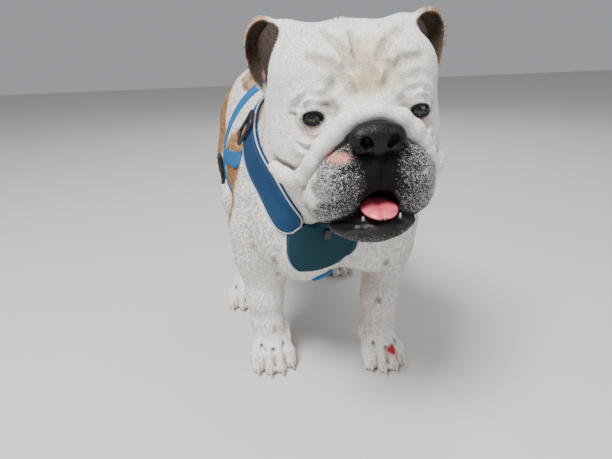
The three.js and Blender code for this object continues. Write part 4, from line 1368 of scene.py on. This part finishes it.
def harness():
    piping = []
    thread = []
    for node, band in BANDS.items():
        kind = kind_of(node)
        cloth, slot, sizes, base, inset, seam = KINDS[kind]
        name = node.replace("harness_", "") + ("_web" if kind == "web" else "_pad")
        made = strip_object(name, band, sizes, cloth, node, base)
        for line in edge_line(band, inset, base + sizes[0] * seam):
            thread += stitches(line)
        if kind == "web":
            continue
        near_edge, far_edge = edge_line(band, 0.6, base + sizes[1] - 0.2)
        outline = [near_edge[::-1], far_edge] if kind == "strap" else [near_edge, far_edge[::-1]]
        piping.append(tube(np.concatenate(outline), PIPING_RADIUS, 7))
    joined("harness_stitching", thread, THREAD, "harness_trim")
    joined("harness_piping", piping, TRIM, "harness_trim")


harness()


def block(at, axes, size, bevel=1.2):
    """A bevelled block; axes are its own x, y and z directions."""
    work = bmesh.new()
    bmesh.ops.create_cube(work, size=1)
    for v in work.verts:
        v.co = Vector(v.co[n] * size[n] for n in range(3))
    bmesh.ops.bevel(work, geom=work.edges[:], offset=bevel, segments=3, affect="EDGES", profile=0.5)
    p, faces = taken(work)
    return p @ axes + at, faces


# The blocks of a side-release buckle, each with its place along, across and off the band, its size
# and its bevel: socket, plug, the two prongs, the bars that hold the webbing and their ends
BUCKLE = [((-9, 0, 0), (22, 31, 7.2), 2.0), ((10, 0, -0.2), (13, 27, 5.6), 1.6)]
BUCKLE += [((1.5, across, 0), (13, 3.6, 5.0), 1.4) for across in (-14, 14)]
BUCKLE += [((along, 0, 0.6), (3.2, 31, 6.0), 1.2) for along in (-23, 20)]
BUCKLE += [((along, across, 0), (9, 3.4, 5.4), 1.2) for along in (-20, 17) for across in (-14, 14)]
BUCKLE_HEIGHT = 6.4


def buckle(band, share):
    """A buckle that lies a share of the way along a band."""
    row = band.row(share)
    axes = band.axes(row)
    at = band.line[row] + band.out[row] * BUCKLE_HEIGHT
    return [block(at + np.array(place) @ axes, axes, size, bevel) for place, size, bevel in BUCKLE]


LOOP_WIDE, LOOP_DEEP, LOOP_CORNER, LOOP_WIRE, LOOP_HEIGHT = 44, 25, 4.0, 2.4, 8.5


def loop_ring(band, share):
    """A rectangular ring lying on a band."""
    row = band.row(share)
    along, across, out = band.axes(row)
    at = band.line[row] + out * LOOP_HEIGHT
    path = []
    for a, b, start in ((1, 1, 0), (-1, 1, 90), (-1, -1, 180), (1, -1, 270)):
        for turn in np.radians(start + np.arange(0, 91, 18)):
            x = a * (LOOP_DEEP / 2 - LOOP_CORNER) + LOOP_CORNER * math.cos(turn)
            y = b * (LOOP_WIDE / 2 - LOOP_CORNER) + LOOP_CORNER * math.sin(turn)
            path.append(at + along * x + across * y)
    path.append(path[0])
    return tube(path, LOOP_WIRE, 10)


buckles = buckle(BANDS["harness_girth_right"], 0.52) + buckle(BANDS["harness_girth_left"], 0.52)
buckles.append(loop_ring(BANDS["harness_strap_right"], 0.6))
buckles.append(loop_ring(BANDS["harness_strap_left"], 0.6))
bib = BANDS["harness_bib"]
CLIP_ROW = 8
clip_at = bib.line[CLIP_ROW] + bib.across[CLIP_ROW] * 3 + bib.out[CLIP_ROW] * 7
buckles.append(block(clip_at, bib.axes(CLIP_ROW), (13, 9, 5), 1.6))
joined("buckles", buckles, PLASTIC, "buckle")


RING_HALF_WIDTH, RING_TALL, RING_WIRE, RING_HEIGHT = 13, 15, 1.9, 6.6


def lead_ring():
    """A steel ring standing on the saddle, held by a tab of webbing."""
    saddle = BANDS["harness_saddle"]
    row = len(saddle.line) // 2
    axes = saddle.axes(row)
    along, across, out = axes
    foot = saddle.line[row] + out * RING_HEIGHT
    half = across * RING_HALF_WIDTH
    rise = unit(out * 0.45 + along * 0.9) * RING_TALL
    arch = [foot + half * math.cos(a) + rise * math.sin(a) for a in np.radians(np.arange(0, 181, 12))]
    ring = [tube(path, RING_WIRE, 12) for path in (arch, [foot - half, foot + half])]
    joined("lead_ring", ring, STEEL, "ring")
    tab = block(foot - out * 0.4, axes, (18, 22, 3.4), 1.3)
    joined("ring_tab", [tab], WEBBING, "harness_webbing")


lead_ring()


# Coat: short tufts laid along the lie of the hair
TUFT_SHAPE = np.array([(0, -1), (-1, 0), (1, 0), (0, 0), (0, 1)]) * 0.0015
TUFT_FACES = np.array([(0, 2, 3), (0, 3, 1), (0, 1, 2), (4, 3, 2), (4, 1, 3), (4, 2, 1)])
REGION_ROWS = {"trunk": (0.0, 0.34), "head": (0.34, 0.26)}
REGION_ROWS.update({name: (0.6 + 0.1 * n, 0.1) for n, name in enumerate(FEET)})
MOST_TUFTS = 32000  # in one piece
ROOT_SUNK = 0.35
TUFT_THICK = 0.22


def skin_roots(density_of):
    """Random places on the skin, their normals, more of them where density_of is greater."""
    mesh = skin.data
    mesh.calc_loop_triangles()
    corner = read(mesh.loop_triangles, "vertices", 3).reshape(-1, 3)
    triangle = dog_points(mesh)[corner]
    cross = np.cross(triangle[:, 1] - triangle[:, 0], triangle[:, 2] - triangle[:, 0])
    area = np.linalg.norm(cross, axis=1) / 2
    wanted = area * density_of(triangle.mean(axis=1))
    count = rng.poisson(wanted)
    chosen = np.repeat(np.arange(len(triangle)), count)
    a, b = rng.random((2, len(chosen)))
    over = a + b > 1
    a[over], b[over] = 1 - a[over], 1 - b[over]
    t = triangle[chosen]
    roots = t[:, 0] + (t[:, 1] - t[:, 0]) * a[:, None] + (t[:, 2] - t[:, 0]) * b[:, None]
    return roots, unit(cross[chosen])


def on_head(p):
    q = dog_to_head(p)
    return (q[:, 1] < 62) & (q[:, 2] > -112) & (q[:, 1] < 102 + 0.6 * q[:, 2])


def tuft_density(p):
    q = dog_to_head(p)
    face = on_head(p) & (q[:, 1] < 10)
    low = p[:, 2] < 170
    return np.select([face, on_head(p), low], [0.30, 0.24, 0.2], 0.15) * (p[:, 2] > 1.5)


def lie_of_hair(p):
    """Which way the hair points: away from the nose, back along the trunk and down the legs."""
    q = dog_to_head(p)
    from_nose = unit(q - np.array([0, -122, -4]))
    head = (from_nose + np.array([0, 0.25, -0.15])) @ HEAD_TURN.T
    trunk = np.tile((0.0, 1.0, -0.25), (len(p), 1))
    down_chest = np.column_stack([p[:, 0] * 0.004, np.zeros(len(p)), -np.ones(len(p))])
    down_leg = np.array([0, 0.2, -1])
    over_foot = np.array([0, -1, -0.45])
    front = (smooth(p[:, 1], 30, -30), down_chest)
    leg = (smooth(p[:, 2], 215, 165), down_leg)
    foot = (smooth(p[:, 2], 48, 30), over_foot)
    tail = (smooth(p[:, 1], 426, 440), down_leg)
    for share, way in (front, leg, foot, tail):
        share = share[:, None]
        trunk = trunk * (1 - share) + way * share
    return np.where(on_head(p)[:, None], head, trunk)


def tuft_length(p):
    q = dog_to_head(p)
    m = folded(q)
    head = 3.0 + 0.8 * smooth(q[:, 1], -40, 20) - 0.9 * smooth(q[:, 1], -80, -100)
    head += 1.2 * smooth(m[:, 0], 84, 96) * smooth(m[:, 2], 20, 40)
    head += 6.5 * near(q, (-14, 20, 98), (16, 20, 10))
    body = 6.2 + 0.8 * smooth(p[:, 1], 40, 0)
    body -= 1.7 * smooth(p[:, 2], 190, 120)
    body -= 1.2 * smooth(p[:, 2], 60, 36)
    body += 4.0 * smooth(p[:, 1], 350, 400) * smooth(p[:, 2], 120, 180)
    return np.where(on_head(p), head, body)


SOLE_HEIGHT = 2.5
NOSE_MARGIN = 2.2
HARNESS_MARGIN = 3.4


def allowed(p, q, bare):
    """False under the harness, in the mouth, and on the nose leather, the eyes and the soles."""
    keep = (bare < 0.3) & (p[:, 2] > SOLE_HEIGHT)
    keep &= nose_steps[0][0].distance(p) > NOSE_MARGIN
    m = folded(q)
    keep &= np.linalg.norm(m - np.array(EYE), axis=1) > EYE_RADIUS + 1.0
    lip_side = folded(q, MOUTH_SIDE)
    mouth_gap = np.minimum(MOUTH.distance(lip_side), MOUTH_LINE.distance(lip_side))
    keep &= (mouth_gap > 3.0) | (q[:, 1] > -30) | (q[:, 2] < -125)
    covers = []
    for band in BANDS.values():
        columns = max(5, int(band.half.max() / COLUMN_SPACING))
        offset = band.half[:, None] * np.linspace(-1, 1, columns)[None]
        covers.append(band.at(offset, -1.0).reshape(-1, 3))
    covers = np.concatenate(covers)
    tree = kdtree.KDTree(len(covers))
    for n, at in enumerate(covers):
        tree.insert(at, n)
    tree.balance()
    under = np.array([tree.find(at)[2] < HARNESS_MARGIN for at in p])
    return keep & ~under


def bake_places(p, normal, region):
    """Where each root lies on an unwrap of the skin: six directions across, one row a region."""
    axis = np.abs(normal).argmax(axis=1)
    column = axis * 2 + (normal[np.arange(len(p)), axis] > 0)
    low, high = p.min(axis=0), p.max(axis=0)
    share = (p - low) / (high - low)
    first = np.where(axis == 0, share[:, 1], share[:, 0])
    second = np.where(axis == 2, share[:, 1], share[:, 2])
    start, height = REGION_ROWS[region]
    u = (column + 0.05 + 0.9 * first) / 6
    v = start + height * (0.05 + 0.9 * second)
    return np.column_stack([u, v])


def tuft_mesh(name, roots, normal, colour, place):
    """One closed lozenge of fur at each root, lying along the hair."""
    flow = lie_of_hair(roots) + rng.normal(0, 0.08, roots.shape)
    flow = unit(flow - normal * np.einsum("ij,ij->i", flow, normal)[:, None])
    side = np.cross(normal, flow)
    length = (tuft_length(roots) * rng.uniform(0.75, 1.2, len(roots)))[:, None]
    width = (0.5 + 0.11 * length) * rng.uniform(0.8, 1.2, (len(roots), 1))
    lift = rng.uniform(0.03, 0.11, (len(roots), 1))
    start = roots - normal * ROOT_SUNK
    middle = roots + flow * length * 0.42 + normal * (length * lift * 0.55 + 0.05)
    tip = roots + flow * length + normal * length * lift
    edge = side * width / 2
    points = np.stack([start, middle - edge, middle + edge, middle + normal * TUFT_THICK, tip], 1)
    points[..., 2] = np.maximum(points[..., 2], 0.3)
    count = len(roots)
    mesh = bpy.data.meshes.new(name)
    mesh.vertices.add(count * 5)
    mesh.vertices.foreach_set("co", to_model(points.reshape(-1, 3)).ravel())
    faces = (np.arange(count)[:, None, None] * 5 + TUFT_FACES).reshape(-1)
    mesh.loops.add(len(faces))
    mesh.loops.foreach_set("vertex_index", faces)
    mesh.polygons.add(len(faces) // 3)
    mesh.polygons.foreach_set("loop_start", np.arange(0, len(faces), 3))
    mesh.update()
    mesh.validate()
    shade_smooth(mesh)
    mesh.materials.append(COAT)
    write_marks(mesh, np.repeat(colour, 5, axis=0), np.zeros(count * 5))
    write_uv(mesh, "OFBake", (place[:, None] + TUFT_SHAPE).reshape(-1, 2)[faces])
    placed(bpy.data.objects.new(name, mesh))


def region_of(p):
    """0 for the trunk, 1 for the head and then one for each leg."""
    region = np.where(on_head(p), 1, 0)
    low = (p[:, 2] < 185) & ~on_head(p)
    for n, foot in enumerate(FEET.values()):
        own = low & (p[:, 0] * foot["side"] > 30) & ((p[:, 1] < 140) == foot["front"])
        region[own] = n + 2
    return region


def coat():
    roots, normal = skin_roots(tuft_density)
    colour, speckle, bare = marks_and_shade(roots)
    keep = allowed(roots, dog_to_head(roots), bare)
    roots, normal, colour, speckle = roots[keep], normal[keep], colour[keep], speckle[keep]
    white_hair = rng.random(len(roots)) < speckle * 0.75
    colour[white_hair] = WHITE_HAIR
    colour *= rng.uniform(0.94, 1.03, (len(roots), 1))
    region = region_of(roots)
    for n, name in enumerate(REGION_ROWS):
        own = np.flatnonzero(region == n)
        own = own[np.argsort(roots[own, 1])]
        place = bake_places(roots[own], normal[own], name)
        parts = max(1, math.ceil(len(own) / MOST_TUFTS))
        for part, index in enumerate(np.array_split(np.arange(len(own)), parts)):
            picked = own[index]
            piece = f"coat_{name}_{part + 1}"
            tuft_mesh(piece, roots[picked], normal[picked], colour[picked], place[index])


coat()


# Floor and light
def make_floor():
    mesh = bpy.data.meshes.new("floor")
    reach = 6
    corners = [(-reach, -reach, 0), (reach, -reach, 0), (reach, reach, 0), (-reach, reach, 0)]
    mesh.from_pydata(corners, [], [(0, 1, 2, 3)])
    floor = bpy.data.objects.new("floor", mesh)
    bpy.context.collection.objects.link(floor)
    mesh.materials.append(new_material("floor", (0.62, 0.61, 0.59), 0.7)[0])


def make_light(name, at, aim, size, power, colour):
    data = bpy.data.lights.new(name, "AREA")
    data.size = size
    data.energy = power
    data.color = colour
    lamp = bpy.data.objects.new(name, data)
    bpy.context.collection.objects.link(lamp)
    lamp.location = at
    lamp.rotation_euler = (Vector(aim) - Vector(at)).to_track_quat("-Z", "Y").to_euler()


make_floor()
make_light("key", (-0.9, -1.0, 2.3), (0, -0.1, 0.2), 0.9, 112, (1, 0.985, 0.955))
make_light("fill", (1.8, -1.6, 1.2), (0, -0.1, 0.25), 1.8, 15, (0.95, 0.97, 1))
make_light("back", (0.8, 1.9, 1.9), (0, 0.1, 0.25), 1.2, 20, (1, 1, 1))
world = bpy.data.worlds.new("world")
world.use_nodes = True
sky = world.node_tree.nodes["Background"].inputs
sky["Color"].default_value = (0.82, 0.85, 0.9, 1)
sky["Strength"].default_value = 0.42
bpy.context.scene.world = world
